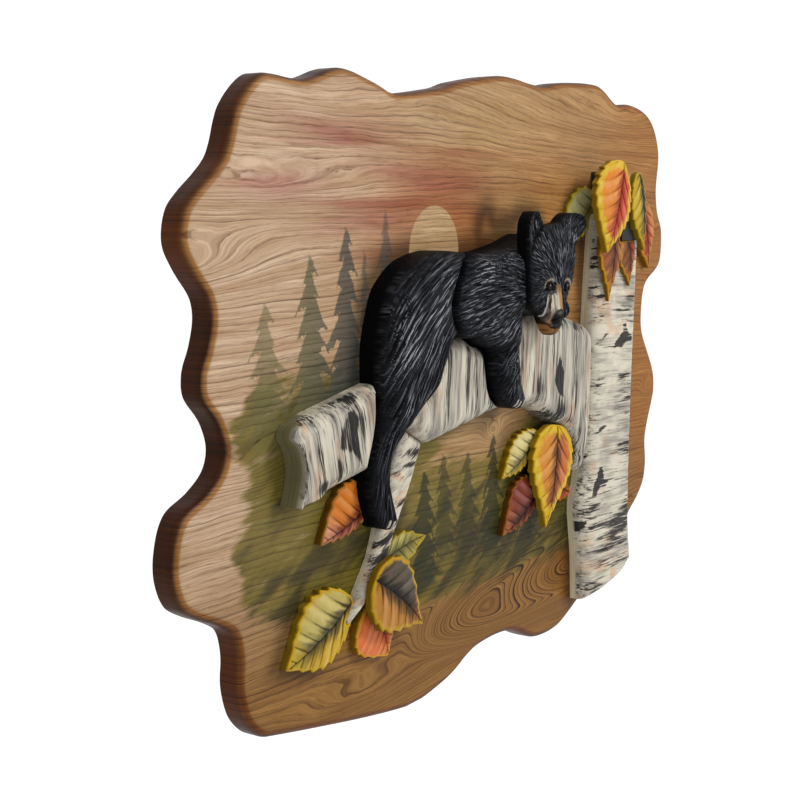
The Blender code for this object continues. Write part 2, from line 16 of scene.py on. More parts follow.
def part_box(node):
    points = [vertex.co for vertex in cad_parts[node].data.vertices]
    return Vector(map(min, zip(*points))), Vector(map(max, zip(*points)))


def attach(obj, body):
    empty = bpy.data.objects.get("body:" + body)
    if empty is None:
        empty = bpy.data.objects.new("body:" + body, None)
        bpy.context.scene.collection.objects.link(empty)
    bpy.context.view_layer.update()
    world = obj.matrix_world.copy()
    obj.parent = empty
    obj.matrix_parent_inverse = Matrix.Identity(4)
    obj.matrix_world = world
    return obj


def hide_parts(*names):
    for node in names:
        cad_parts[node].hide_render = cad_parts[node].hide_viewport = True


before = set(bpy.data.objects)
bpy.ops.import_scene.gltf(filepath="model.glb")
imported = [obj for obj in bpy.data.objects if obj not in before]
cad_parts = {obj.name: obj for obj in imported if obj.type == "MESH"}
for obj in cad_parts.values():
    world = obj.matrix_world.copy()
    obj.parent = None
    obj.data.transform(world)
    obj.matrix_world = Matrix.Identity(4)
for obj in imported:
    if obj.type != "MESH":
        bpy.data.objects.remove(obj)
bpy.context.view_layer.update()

MM = 0.001
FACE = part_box("board")[0].y / MM  # front of the board along y
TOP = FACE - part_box("bear_head")[0].y / MM  # height of the foremost part of the head

# Distance between the points of each fine surface
STEP_FUR = 0.5
STEP_PAW = 0.6
STEP_RISER = 1.2
STEP_HEAD = 0.4
STEP_BARK = 0.85
STEP_LEAF = 0.75
STEP_BOARD = 2.3
TINT_RANGE = 4  # largest tint that a stored colour can hold

# How far in from the edge each surface is rounded, as the solids have it
ROUND_FUR = 17
ROUND_HEAD = 14
ROUND_BARK = 14
ROUND_TWIG = 8
ROUND_LEAF = 20
ROUND_PAW = 10
ROUND_RISER = 4
ROUND_BOARD = 6

GLUE_GAP = 0.3  # depth of a seat below the piece that lies in it
HEAD_EASE, LEAF_EASE = 0.9, 0.8  # how much wider the seats of the head and the golden leaf are
SHARP_TURN = 34  # degrees from which a corner of an outline stays sharp
CREASE = 45  # degrees from which an edge of a surface is shaded sharp

# How much light the front gets, as a multiple of what the white surroundings give every side
FRONT_LIGHT = 1.95
SURROUNDINGS = 1.06  # brightness of the white surroundings


# Fields: values at places x, z


def hashed(ix, iz, seed):
    value = np.sin(ix * 127.1 + iz * 311.7 + seed * 74.7) * 43758.5453
    return (value - np.floor(value)) * 2 - 1


def noise(x, z, seed):
    """Smooth noise between -1 and 1 with one cell to a unit."""
    ix, iz = np.floor(x), np.floor(z)
    ux, uz = x - ix, z - iz
    ux, uz = ux * ux * (3 - 2 * ux), uz * uz * (3 - 2 * uz)
    low = hashed(ix, iz, seed) * (1 - ux) + hashed(ix + 1, iz, seed) * ux
    high = hashed(ix, iz + 1, seed) * (1 - ux) + hashed(ix + 1, iz + 1, seed) * ux
    return low * (1 - uz) + high * uz


def layered(x, z, seed):
    """Three layers of noise, each about half as wide and half as strong as the one before."""
    return sum(noise(x * 2.03**k, z * 2.03**k, seed + 7 * k) * 0.5**k for k in range(3)) / 1.75


def unit(value):
    """The value kept between 0 and 1."""
    return np.clip(value, 0, 1)


def ramp(value, low, high):
    """Smooth step from 0 at low to 1 at high, which may be the lower of the two."""
    share = unit((value - low) / (high - low))
    return share * share * (3 - 2 * share)


def between(value, low, rise, fall, high):
    """Smooth share that is 0 below low, 1 from rise to fall and 0 above high."""
    return ramp(value, low, rise) * ramp(value, high, fall)


def ridge(value, width):
    """Share that is 1 where the value is 0 and falls off on both sides."""
    return np.exp(-((value / width) ** 2))


def spot(x, z, px, pz, wide, tall, turn=0):
    """Round patch that is 1 in its middle, with half sizes and a turn in degrees."""
    c, s = math.cos(math.radians(turn)), math.sin(math.radians(turn))
    ax, az = (x - px) * c + (z - pz) * s, -(x - px) * s + (z - pz) * c
    return np.exp(-((ax / wide) ** 2 + (az / tall) ** 2))


def spots(x, z, rows):
    """Sum of round patches, each given by its place, half sizes, turn and strength."""
    return sum(row[5] * spot(x, z, *row[:5]) for row in rows)


def round_rise(depth, radius):
    """Share of the full height that a rounded edge has reached at this depth."""
    share = unit(depth / radius)
    return np.sqrt(np.maximum(1 - (1 - share) ** 2, 0))


def shown(*levels):
    """Linear colour from the 0 to 255 levels that a screen shows."""
    share = np.array(levels) / 255
    return np.where(share <= 0.04045, share / 12.92, ((share + 0.055) / 1.055) ** 2.4)


def tone(*levels):
    """Paint that shows these levels on the lit front."""
    return shown(*levels) / FRONT_LIGHT


def mix(first, second, share):
    share = np.asarray(share, float)[..., None]
    return np.asarray(first) * (1 - share) + np.asarray(second) * share


def laid(colour, *coats):
    """The colour with coats of (paint, share) laid over it in turn."""
    for paint, share in coats:
        colour = mix(colour, paint, unit(share))
    return colour


def glazed(colour, *glazes):
    """The colour seen through glazes of (tint, share)."""
    for tint, share in glazes:
        colour = colour * mix((1, 1, 1), tint, unit(share))
    return colour


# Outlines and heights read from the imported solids


def closed_loops(edges):
    """Closed rings of places along the directed edges whose reverse isn't among them."""
    known = set(edges)
    after = {a: b for a, b in edges if (b, a) not in known}
    rings = []
    while after:
        ring = [next(iter(after))]
        while ring[-1] in after:
            ring.append(after.pop(ring[-1]))
        rings.append(ring[:-1])
    return rings


def tree_of(points):
    tree = kdtree.KDTree(len(points))
    for i, (x, z) in enumerate(points):
        tree.insert((x, z, 0), i)
    tree.balance()
    return tree


def nearest(tree, x, z):
    return np.array([tree.find((px, pz, 0))[2] for px, pz in zip(x, z)])


def densified(loop, step):
    """The closed loop with points at most a step apart."""
    out = []
    for p, q in zip(loop, np.roll(loop, -1, axis=0)):
        count = max(int(math.ceil(np.linalg.norm(q - p) / step)), 1)
        out.extend(p + (q - p) * k / count for k in range(count))
    return np.array(out)


def inside(loop, x, z):
    """Whether each place is within the closed loop."""
    odd = np.zeros(len(x), bool)
    for (ax, az), (bx, bz) in zip(loop, np.roll(loop, -1, axis=0)):
        crosses = (az > z) != (bz > z)
        if crosses.any():
            at = ax + (z - az) * (bx - ax) / (bz - az if bz != az else 1)
            odd ^= crosses & (x < at)
    return odd


def near_line(points, x, z):
    """Distance to a line through the points."""
    best = np.full(len(x), 1e9)
    for (ax, az), (bx, bz) in zip(points, points[1:]):
        sx, sz = bx - ax, bz - az
        t = unit(((x - ax) * sx + (z - az) * sz) / (sx * sx + sz * sz))
        best = np.minimum(best, np.hypot(x - ax - t * sx, z - az - t * sz))
    return best


def within(outline, x, z, soft):
    """Share from 0 to 1 of being inside an outline, with an edge this soft."""
    edge = near_line(outline + outline[:1], x, z)
    return ramp(np.where(inside(np.array(outline), x, z), edge, -edge), -soft, soft)


def outset(loop, distance):
    """The loop moved outwards by a distance."""
    tangent = np.roll(loop, -1, axis=0) - np.roll(loop, 1, axis=0)
    tangent /= np.maximum(np.linalg.norm(tangent, axis=1), 1e-9)[:, None]
    return loop + np.stack([tangent[:, 1], -tangent[:, 0]], axis=1) * distance


def curved(loop, step):
    """The loop with points about a step apart on a smooth curve that keeps its sharp corners."""
    count = len(loop)
    back = loop - np.roll(loop, 1, axis=0)
    ahead = np.roll(loop, -1, axis=0) - loop
    turn = np.arctan2(back[:, 0] * ahead[:, 1] - back[:, 1] * ahead[:, 0], np.sum(back * ahead, axis=1))
    sharp = np.abs(np.degrees(turn)) > SHARP_TURN
    out = []
    for i in range(count):
        before, here, there, after = (loop[(i + k) % count] for k in (-1, 0, 1, 2))
        reach = np.linalg.norm(there - here)
        leave = there - here if sharp[i] else (there - before) * 0.5
        arrive = there - here if sharp[(i + 1) % count] else (after - here) * 0.5
        leave = leave * min(1, reach / max(np.linalg.norm(leave), 1e-9))
        arrive = arrive * min(1, reach / max(np.linalg.norm(arrive), 1e-9))
        parts = max(int(round(reach / step)), 1)
        for k in range(parts):
            t = k / parts
            out.append(here * (2 * t**3 - 3 * t**2 + 1) + leave * (t**3 - 2 * t**2 + t)
                       + there * (3 * t**2 - 2 * t**3) + arrive * (t**3 - t**2))
    return np.array(out)


class Form:
    """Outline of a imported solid, with its heights along the edge and over its front. rounded(x, z) says
    which part of the edge is rounded, and pockets holds the loops and floors of its seats."""

    EDGE_STEP = 0.25  # spacing of the places that depths are measured to
    SLACK = 0.02  # how far off the back's plane a place of the back may be

    def __init__(self, node, radius, step, rounded=None, pockets=()):
        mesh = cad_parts[node].data
        places = np.array([v.co for v in mesh.vertices]) / MM
        keys = [tuple(k) for k in np.round(places, 2)]
        self.back = max(k[1] for k in keys)
        edges = []
        for face in mesh.polygons:
            ring = [keys[i] for i in face.vertices]
            if all(k[1] > self.back - self.SLACK for k in ring):
                edges += [((a[0], a[2]), (b[0], b[2])) for a, b in zip(ring, ring[1:] + ring[:1]) if a != b]
        coarse = np.array(max(closed_loops(edges), key=len))
        ahead = np.roll(coarse, -1, axis=0)
        area = np.sum(coarse[:, 0] * ahead[:, 1] - ahead[:, 0] * coarse[:, 1])
        self.coarse = coarse if area > 0 else coarse[::-1]
        self.low, self.high = self.coarse.min(axis=0), self.coarse.max(axis=0)
        self.loop = np.clip(curved(self.coarse, step), self.low, self.high)
        self.step, self.radius, self.pockets = step, radius, pockets
        dense = densified(self.loop, self.EDGE_STEP)
        self.edge_tree = tree_of(dense)
        self.rounded_tree = tree_of(dense[rounded(dense[:, 0], dense[:, 1])]) if rounded else self.edge_tree
        outline = {(p[0], p[1]) for p in self.coarse}
        tops = {}
        for k in keys:
            place = (k[0], k[2])
            tops[place] = max(tops.get(place, -99), FACE - k[1])
        stations = {place: h for place, h in tops.items() if h > FACE - self.back + 0.5}
        self.rim = np.array([(x, z, h) for (x, z), h in stations.items() if (x, z) in outline])
        front = [(x, z, h) for (x, z), h in stations.items() if (x, z) not in outline
                 and not any(inside(loop, np.array([x]), np.array([z]))[0] for loop, _ in pockets)]
        self.crown = np.zeros((0, 3))
        if front:
            front = np.array(front)
            rise = round_rise(self.depth(front[:, 0], front[:, 1]), radius)
            low = self.spread(self.rim, front[:, 0], front[:, 1])
            front[:, 2] = low + (front[:, 2] - low) / np.maximum(rise, 0.4)
            self.crown = front[rise > 0.4]

    def depth(self, x, z):
        """Distance in from the part of the edge that is rounded."""
        return nearest(self.rounded_tree, x, z)

    def spread(self, stations, x, z, soft=2.5):
        """Smooth field through the stations."""
        total, weight = np.zeros(len(x)), np.zeros(len(x))
        for sx, sz, value in stations:
            share = 1 / ((x - sx) ** 2 + (z - sz) ** 2 + soft**2) ** 2
            total += share * value
            weight += share
        return total / weight

    def unrolled(self, x, z, height, depth):
        """Places moved outward by what the front has dropped, as if its rounded edge were laid flat."""
        near = depth < self.radius
        out_x, out_z = np.zeros(len(x)), np.zeros(len(x))
        for reach in (3, 8):
            out_x[near] += self.depth(x[near] - reach, z[near]) - self.depth(x[near] + reach, z[near])
            out_z[near] += self.depth(x[near], z[near] - reach) - self.depth(x[near], z[near] + reach)
        size = np.maximum(np.hypot(out_x, out_z), 1)
        drop = np.zeros(len(x))
        if len(self.crown):
            drop[near] = np.maximum(self.spread(self.crown, x[near], z[near]) - height[near], 0)
        return x + drop * out_x / size, z + drop * out_z / size

    def height(self, x, z, depth):
        """The solid's own front, smoothed."""
        low = self.spread(self.rim, x, z, 4)
        if not len(self.crown):
            return low
        high = self.spread(self.crown, x, z)
        height = low + np.maximum(high - low, 0) * round_rise(depth, self.radius)
        for loop, floor in self.pockets:
            height = np.where(inside(loop, x, z), np.minimum(height, floor), height)
        return height

    def grid(self, rings):
        """Points of the front: a hexagonal grid inside the outline and rings along it."""
        step = self.step
        places = []
        rows = np.arange(self.low[1] + 0.4 * step, self.high[1], step * 0.866)
        ahead = np.roll(self.loop, -1, axis=0)
        for number, z in enumerate(rows):
            crosses = (self.loop[:, 1] > z) != (ahead[:, 1] > z)
            a, b = self.loop[crosses], ahead[crosses]
            cuts = np.sort(a[:, 0] + (z - a[:, 1]) * (b[:, 0] - a[:, 0]) / (b[:, 1] - a[:, 1]))
            shift = (number % 2) * 0.5
            for start, end in zip(cuts[::2], cuts[1::2]):
                first = math.ceil((start + 0.3 * step) / step + shift) * step - shift * step
                line = np.arange(first, end - 0.3 * step, step)
                places.append(np.stack([line, np.full(len(line), z)], axis=1))
        places = np.concatenate(places)
        clear = nearest(self.edge_tree, *places.T)
        places = [places[clear > 0.55 * step + max(rings, default=0)]]
        for ring in rings:
            line = outset(self.loop, -ring)
            clear = nearest(self.edge_tree, *line.T) > ring * 0.96
            places.append(line[clear & inside(self.loop, *line.T)])
        return np.concatenate(places)


def surface(name, form, relief, paint, walls=3, rings=()):
    """Closed mesh of a piece. relief(x, z, depth) gives its front's height above the board's face, and
    paint(x, z, height, depth, wall) gives its colour and any further values at each point."""
    loop = form.loop
    count = len(loop)
    flat = [Vector(p) for p in np.concatenate([loop, form.grid(rings)])]
    ring = [(i, (i + 1) % count) for i in range(count)]
    points, _, faces, sources, _, _ = delaunay_2d_cdt(flat, ring, [], 1, 1e-6)
    x, z = np.array([tuple(p) for p in points]).T
    made_of = {given: made for made, group in enumerate(sources) for given in group}
    depth = form.depth(x, z)
    height = relief(x, z, depth)
    above = np.array([made_of[i] for i in range(count)])
    rim, bottom = height[above], FACE - form.back
    verts = [np.stack([x, FACE - height, z], axis=1)]
    tris = [np.array([f for f in faces if len(f) == 3])]
    for k in range(1, walls + 1):
        level = rim * (1 - k / walls) + bottom * (k / walls)
        verts.append(np.stack([loop[:, 0], FACE - level, loop[:, 1]], axis=1))
        below = len(x) + (k - 1) * count + np.arange(count)
        tris.append(np.stack([above, below, np.roll(below, -1)], axis=1))
        tris.append(np.stack([above, np.roll(below, -1), np.roll(above, -1)], axis=1))
        above = below
    _, _, back_faces, sources, _, _ = delaunay_2d_cdt([Vector(p) for p in loop], ring, [], 1, 1e-6)
    tris.append(np.array([[above[sources[i][0]] for i in f[::-1]] for f in back_faces if len(f) == 3]))
    verts = np.concatenate(verts)
    mesh = bpy.data.meshes.new(name)
    mesh.from_pydata((verts * MM).tolist(), [], np.concatenate(tris).tolist(), shade_flat=False)
    if not mesh.validate():
        mesh.set_sharp_from_angle(angle=math.radians(CREASE))
    deep = np.zeros(len(verts))
    deep[:len(x)] = depth
    wall = np.ones(len(verts))
    wall[:len(x)] = 0
    for label, values in paint(verts[:, 0], verts[:, 2], FACE - verts[:, 1], deep, wall).items():
        if values.ndim == 2:
            layer = mesh.attributes.new(label, "FLOAT_COLOR", "POINT")
            rgba = np.concatenate([unit(values), np.ones((len(values), 1))], axis=1)
            layer.data.foreach_set("color", rgba.astype(np.float32).ravel())
        else:
            layer = mesh.attributes.new(label, "FLOAT", "POINT")
            layer.data.foreach_set("value", values.astype(np.float32))
    piece = bpy.data.objects.new(name, mesh)
    bpy.context.scene.collection.objects.link(piece)
    return piece


def dress(node, piece, finish):
    """Gives a piece its material, hangs it from the root body and hides the solid that it stands for."""
    piece.data.materials.append(finish)
    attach(piece, "root")
    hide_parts(node)


# Materials


class Finish:
    """Node material with short calls for what every surface here uses."""

    def __init__(self, name, roughness=0.5, **settings):
        self.material = bpy.data.materials.new(name)
        self.material.use_nodes = True
        self.tree = self.material.node_tree
        self.shader = self.tree.nodes["Principled BSDF"]
        self.shader.inputs["Roughness"].default_value = roughness
        for socket, value in settings.items():
            self.shader.inputs[socket.replace("_", " ")].default_value = value
        self.place = self.tree.nodes.new("ShaderNodeTexCoord").outputs["Object"]

    def node(self, kind, inputs, **settings):
        """New node with its inputs linked to sockets or set to values."""
        made = self.tree.nodes.new("ShaderNode" + kind)
        for key, value in settings.items():
            setattr(made, key, value)
        for key, value in inputs.items():
            if isinstance(value, bpy.types.NodeSocket):
                self.tree.links.new(value, made.inputs[key])
            else:
                made.inputs[key].default_value = value
        return made

    def math(self, operation, first, second=0, third=0, clamp=False):
        made = self.node("Math", {0: first, 1: second, 2: third}, operation=operation)
        made.use_clamp = clamp
        return made.outputs[0]

    def times(self, first, second):
        return self.math("MULTIPLY", first, second)

    def value(self, label):
        return self.node("Attribute", {}, attribute_name=label).outputs["Fac"]

    def colour(self, label):
        return self.node("Attribute", {}, attribute_name=label).outputs["Color"]

    def stretched(self, scale, turn=0, shift=0):
        """Object coordinates turned about the wall's normal by degrees, then scaled along x, y and z."""
        turned = self.node("Mapping", {"Vector": self.place, "Rotation": (0, math.radians(turn), 0)})
        scaling = {"Vector": turned.outputs[0], "Scale": scale, "Location": (shift,) * 3}
        return self.node("Mapping", scaling).outputs[0]

    def noise(self, vector, scale=1, detail=3, roughness=0.55):
        """Noise with so many cells to a unit of the vector, which is a metre unless it is stretched."""
        inputs = {"Vector": vector, "Scale": scale, "Detail": detail, "Roughness": roughness}
        return self.node("TexNoise", inputs).outputs["Fac"]

    def band(self, value, low, high, to_low=0, to_high=1):
        return self.node("MapRange", {"Value": value, "From Min": low, "From Max": high,
                                      "To Min": to_low, "To Max": to_high}).outputs[0]

    def mixed(self, share, first, second, blend="MIX"):
        """The second colour mixed into the first by a share."""
        first, second = (c if isinstance(c, bpy.types.NodeSocket) else (*c, 1) for c in (first, second))
        inputs = {0: share, 6: first, 7: second}
        return self.node("Mix", inputs, data_type="RGBA", blend_type=blend).outputs[2]

    def finish(self, colour, roughness=None, bump=None, strength=0.3, distance=0.0005):
        if bump is not None:
            bump = self.node("Bump", {"Height": bump, "Strength": strength, "Distance": distance}).outputs[0]
        for label, value in (("Base Color", colour), ("Roughness", roughness), ("Normal", bump)):
            if value is not None:
                self.tree.links.new(value, self.shader.inputs[label])
        return self.material


def fur_finish():
    """Satin black paint over carved fur."""
    made = Finish("black_paint", 0.42, Specular_IOR_Level=0.03)
    fine = made.noise(made.place, 900, 4, 0.6)
    patchy = made.mixed(made.band(fine, 0.3, 0.7), made.colour("paint"), (0.5, 0.5, 0.5), "SOFT_LIGHT")
    return made.finish(patchy, made.band(fine, 0.3, 0.7, 0.42, 0.6), fine, 0.3, 0.0003)


def birch_finish(name, turn, along, over):
    """Cream paint with dry strokes of grey and black, and bare sawn wood where nothing is painted. The
    strokes lie turned by degrees, with so many cells a metre along them and across them."""
    made = Finish(name, 0.5, Specular_IOR_Level=0.1)
    broad = made.noise(made.stretched((along, 60, over), turn), 1, 4, 0.66)
    second = made.noise(made.stretched((along * 0.7, 60, over * 0.8), turn, 7.3), 1, 3, 0.6)
    hairs = made.noise(made.stretched((along * 2, 200, over * 5), turn), 1, 3, 0.7)
    grain = made.noise(made.stretched((30, 900, 14)), 1, 3, 0.65)
    rough = made.times(hairs, 0.6)

    def covered(cells, label, low, high):
        """Share of a coat that thickens where its stored value and the noise are high."""
        strokes = made.math("MULTIPLY_ADD", cells, 0.7, rough)
        return made.band(made.math("ADD", strokes, made.value(label)), low, high)

    soft = made.mixed(made.band(hairs, 0.3, 0.7), made.colour("paint"), (0.66, 0.64, 0.6), "SOFT_LIGHT")
    washed = made.mixed(made.times(covered(second, "wash", 0.98, 1.24), 0.8), soft, tone(92, 93, 95))
    inked = made.mixed(made.times(covered(broad, "ink", 1.09, 1.19), 0.95), washed, tone(20, 20, 22))
    wood = made.mixed(made.band(grain, 0.35, 0.65), made.colour("paint"), (0.3, 0.27, 0.22), "MULTIPLY")
    wood = made.mixed(0.5, made.colour("paint"), wood)
    return made.finish(made.mixed(made.value("bare"), inked, wood), made.band(hairs, 0.3, 0.7, 0.42, 0.6),
                       hairs, 0.3, 0.0004)


def leaf_finish(name):
    """Thin translucent paint over carved leaves."""
    made = Finish(name, 0.42, Specular_IOR_Level=0.1)
    cloud = made.noise(made.place, 160, 4, 0.65)
    fine = made.noise(made.place, 1300, 3, 0.6)
    shade = made.mixed(made.band(cloud, 0.35, 0.65), made.colour("paint"), (0.36, 0.33, 0.3), "OVERLAY")
    toned = made.mixed(0.4, made.colour("paint"), shade)
    return made.finish(toned, made.band(fine, 0.3, 0.7, 0.36, 0.54), fine, 0.25, 0.0002)


def riser_finish():
    """Thin dark paint over rough grain."""
    made = Finish("riser_paint", 0.8)
    grain = made.noise(made.stretched((500, 60, 60)), 1, 3, 0.6)
    dark = made.mixed(made.band(grain, 0.35, 0.7), made.colour("paint"), (0.02, 0.02, 0.02), "MULTIPLY")
    return made.finish(dark, None, grain, 0.5, 0.0004)


def board_finish():
    """Oiled board with open grain, a thinly painted forest over it and a dark edge."""
    made = Finish("stained_wood", 0.38, Specular_IOR_Level=0.08)
    grain = made.value("grain")
    x = made.node("SeparateXYZ", {0: made.place}).outputs[0]

    def drawn(along, over, detail=3):
        """Noise drawn out along the grain, in cells per metre along it and per ring across it."""
        at = made.node("CombineXYZ", {0: made.times(x, along), 2: made.times(grain, over)})
        return made.noise(at.outputs[0], 1, detail, 0.6)

    count = made.math("MULTIPLY_ADD", drawn(2, 0.5, 2), 1.6, grain)
    fraction = made.math("FRACT", count)
    chance = made.node("TexWhiteNoise", {"W": made.math("FLOOR", count)}, noise_dimensions="1D").outputs[0]
    rise = made.math("SUBTRACT", 1, fraction)
    line = made.times(made.math("POWER", rise, 5), made.band(fraction, 0, 0.06))
    fading = made.band(drawn(6, 0.9), 0.36, 0.54, 0.4, 1)
    line = made.times(made.times(line, fading), made.band(chance, 0, 1, 0.35, 1))
    line = made.math("MULTIPLY", line, made.value("bold"), clamp=True)
    fibres = drawn(22, 5)
    pores = made.times(made.band(drawn(75, 9, 2), 0.56, 0.66), made.band(rise, 0.2, 0.9, 0.15, 1))
    broad = made.band(drawn(3, 0.35), 0.35, 0.65)

    wood = made.mixed(broad, tone(222, 182, 134), tone(190, 148, 100))
    wood = made.mixed(made.band(fibres, 0.38, 0.7, 0, 0.7), wood, tone(146, 102, 58))
    sun = made.band(made.value("sun"), -0.4, 0.4)
    tint = made.mixed(1, made.colour("tint"), (TINT_RANGE,) * 3, "MULTIPLY")
    tint = made.mixed(sun, tint, (1.2, 1.3, 1.4))
    wood = made.mixed(1, wood, tint, "MULTIPLY")
    dry = made.noise(made.stretched((16, 1, 150), 6), 1, 4, 0.7)
    cover = made.math("MULTIPLY_ADD", made.math("SUBTRACT", dry, 0.5), 1.5, made.value("cover"))
    wood = made.mixed(made.times(made.band(cover, 0.3, 0.62), 0.86), wood, made.colour("paint"))
    needles = made.noise(made.stretched((150, 1, 260), 28), 1, 4, 0.7)
    ragged = made.math("MULTIPLY_ADD", made.math("SUBTRACT", needles, 0.5), 8, made.value("fir"))
    firs = made.times(made.band(ragged, -0.8, 1.6), made.value("fir_cover"))
    wood = made.mixed(firs, wood, made.colour("fir_paint"))
    dark = made.mixed(line, (1, 1, 1), (0.13, 0.08, 0.05))
    dark = made.mixed(made.times(pores, 0.7), dark, (0.3, 0.22, 0.16))
    wood = made.mixed(1, wood, dark, "MULTIPLY")
    bump = made.math("MULTIPLY_ADD", line, -0.6, made.times(pores, -0.5))
    return made.finish(wood, made.band(fibres, 0.3, 0.7, 0.38, 0.52), bump, 0.3, 0.0004)


# Fur

FLOW_SOFT = 12  # reach within which a guide rules the fur's direction


def flow_from(guides):
    """Direction field through guides of (x, z, degrees)."""
    rows = [(x, z, math.cos(math.radians(a)), math.sin(math.radians(a))) for x, z, a in guides]

    def at(x, z):
        u, v = np.zeros(len(x)), np.zeros(len(x))
        for gx, gz, du, dv in rows:
            share = 1 / ((x - gx) ** 2 + (z - gz) ** 2 + FLOW_SOFT**2) ** 1.5
            u += share * du
            v += share * dv
        size = np.maximum(np.hypot(u, v), 1e-12)
        return u / size, v / size
    return at


class Strokes:
    """Map of short tapered strokes that follow a flow, on a grid of small squares."""

    CELL = 0.25
    MARGIN = 20
    STRIDE = 0.4
    STRAY = 3  # degrees by which strokes lean off the flow

    def __init__(self, form, flow, length, width, spacing, seed):
        draw = np.random.default_rng(seed)
        self.low = form.low - self.MARGIN
        size = ((form.high + self.MARGIN - self.low) / self.CELL).astype(int) + 2
        self.map = np.zeros(size)
        pitch = math.sqrt(length * spacing)
        gx, gz = np.meshgrid(np.arange(self.low[0], form.high[0] + self.MARGIN, pitch),
                             np.arange(self.low[1], form.high[1] + self.MARGIN, pitch))
        x = gx.ravel() + draw.uniform(-0.5, 0.5, gx.size) * pitch
        z = gz.ravel() + draw.uniform(-0.5, 0.5, gz.size) * pitch
        wanted = inside(form.coarse, x, z) | (nearest(form.edge_tree, x, z) < self.MARGIN)
        x, z = x[wanted], z[wanted]
        count = len(x)
        half = length * draw.uniform(0.3, 0.65, count)
        wide = width * draw.uniform(0.7, 1.25, count)
        strength = draw.uniform(0.55, 1, count)
        lean = np.radians(draw.normal(0, self.STRAY, count))
        for way in (self.STRIDE, -self.STRIDE):
            px, pz = x.copy(), z.copy()
            for step in range(int(half.max() / self.STRIDE) + 1):
                left = 1 - (step * self.STRIDE / half) ** 2
                live = left > 0.02
                taper = np.sqrt(np.maximum(left, 0))
                spread = wide * (0.35 + 0.65 * taper)
                self.stamp(px[live], pz[live], spread[live], (strength * taper)[live])
                u, v = flow(px, pz)
                px, pz = (px + way * (u * np.cos(lean) - v * np.sin(lean)),
                          pz + way * (u * np.sin(lean) + v * np.cos(lean)))

    def stamp(self, x, z, wide, strength):
        """Raises the map to a rounded spot at each place."""
        reach = int(math.ceil(wide.max() / self.CELL)) if len(wide) else 0
        cx, cz = (x - self.low[0]) / self.CELL, (z - self.low[1]) / self.CELL
        ix, iz = np.round(cx).astype(int), np.round(cz).astype(int)
        for dx in range(-reach, reach + 1):
            for dz in range(-reach, reach + 1):
                at_x, at_z = ix + dx, iz + dz
                far = np.hypot(at_x - cx, at_z - cz) * self.CELL / wide
                fits = (far < 1) & (np.minimum(at_x, at_z) >= 0)
                fits &= (at_x < self.map.shape[0]) & (at_z < self.map.shape[1])
                np.maximum.at(self.map, (at_x[fits], at_z[fits]), (strength * (1 - far**2))[fits])

    def at(self, x, z):
        cx = np.clip((x - self.low[0]) / self.CELL, 0, self.map.shape[0] - 1.001)
        cz = np.clip((z - self.low[1]) / self.CELL, 0, self.map.shape[1] - 1.001)
        ix, iz = cx.astype(int), cz.astype(int)
        fx, fz = cx - ix, cz - iz
        return ((self.map[ix, iz] * (1 - fx) + self.map[ix + 1, iz] * fx) * (1 - fz)
                + (self.map[ix, iz + 1] * (1 - fx) + self.map[ix + 1, iz + 1] * fx) * fz)


def locks_along(x, z, flow, reach, cell, seed):
    """Broad noise drawn out along the flow, for the locks that the strands lie in."""
    stride = cell * 0.8
    total = noise(x / cell, z / cell, seed)
    for way in (stride, -stride):
        px, pz = x.copy(), z.copy()
        for _ in range(max(int(reach / stride), 2)):
            u, v = flow(px, pz)
            px += way * u
            pz += way * v
            total += noise(px / cell, pz / cell, seed)
    return total / max(total.std(), 1e-9)


# Fur's colours: painted shade in the grooves and on the walls, from bare black to dry-brushed pale with
# painted highlights, and its claws
SHADE_BLACK = shown(6, 6, 7)
BLACK = tone(24, 25, 29)
RUB_AND_SHEEN_GREY = tone(46, 48, 54)
STRAND = tone(110, 113, 121)
PALE = tone(206, 209, 214)
CLAW = tone(216, 208, 190)


class Coat:
    """Carved and dry-brushed fur of one piece. Its paleness, a function of x and z, says how pale its ridges
    are from dry brushing and painted highlights, fine is how wide its strands are as a share of the usual,
    and cut is how deep they go."""

    def __init__(self, form, guides, length, seed, rubbed, fine=1, cut=1.1):
        self.form, self.length, self.seed, self.rubbed, self.cut = form, length, seed, rubbed, cut
        self.flow = flow_from(guides)
        self.grooves = Strokes(form, self.flow, length, 0.7 * fine, 2 * fine, seed)
        self.brushed = Strokes(form, self.flow, length, 0.5 * fine, 1.75 * fine, seed + 1)

    def strokes(self, x, z, height, depth):
        """How far each place is in a groove and in a brushed strand."""
        x, z = self.form.unrolled(x, z, height, depth)
        return self.grooves.at(x, z), self.brushed.at(x, z)

    def relief(self, x, z, depth):
        height = self.form.height(x, z, depth)
        groove, brushed = self.strokes(x, z, height, depth)
        locks = locks_along(x, z, self.flow, self.length * 0.8, self.length * 0.26, self.seed + 2)
        carved = ramp(groove, 0.1, 0.8) * (1 - 0.7 * brushed) + 0.8 * ramp(-locks, -0.2, 1.8)
        return height - self.cut * ramp(depth, 0, 1.5) * carved

    def colour(self, x, z, height, depth, wall):
        cloud = ramp(layered(x / 16, z / 16, self.seed + 31), -0.55, 0.5)
        patch = unit(self.rubbed(x, z)) * cloud
        groove, brushed = self.strokes(x, z, height, depth)
        dark = ramp(groove, 0.1, 0.6)
        stroke = ramp(brushed, 0.25, 0.7) * (1 - 0.55 * dark) * (0.3 + 0.7 * ramp(depth, 1.5, 8))
        # Painted shade darkens the grooves, the outermost edge and the walls; the paler patches are partly
        # painted highlights
        return laid(mix(BLACK, RUB_AND_SHEEN_GREY, 0.1 + 0.55 * patch), (SHADE_BLACK, dark),
                    (mix(STRAND, PALE, 0.08 + 0.9 * patch), stroke * (0.55 + 0.43 * patch)),
                    (SHADE_BLACK, np.maximum(wall, 0.4 - 0.4 * ramp(depth, 0.1, 1.2))))


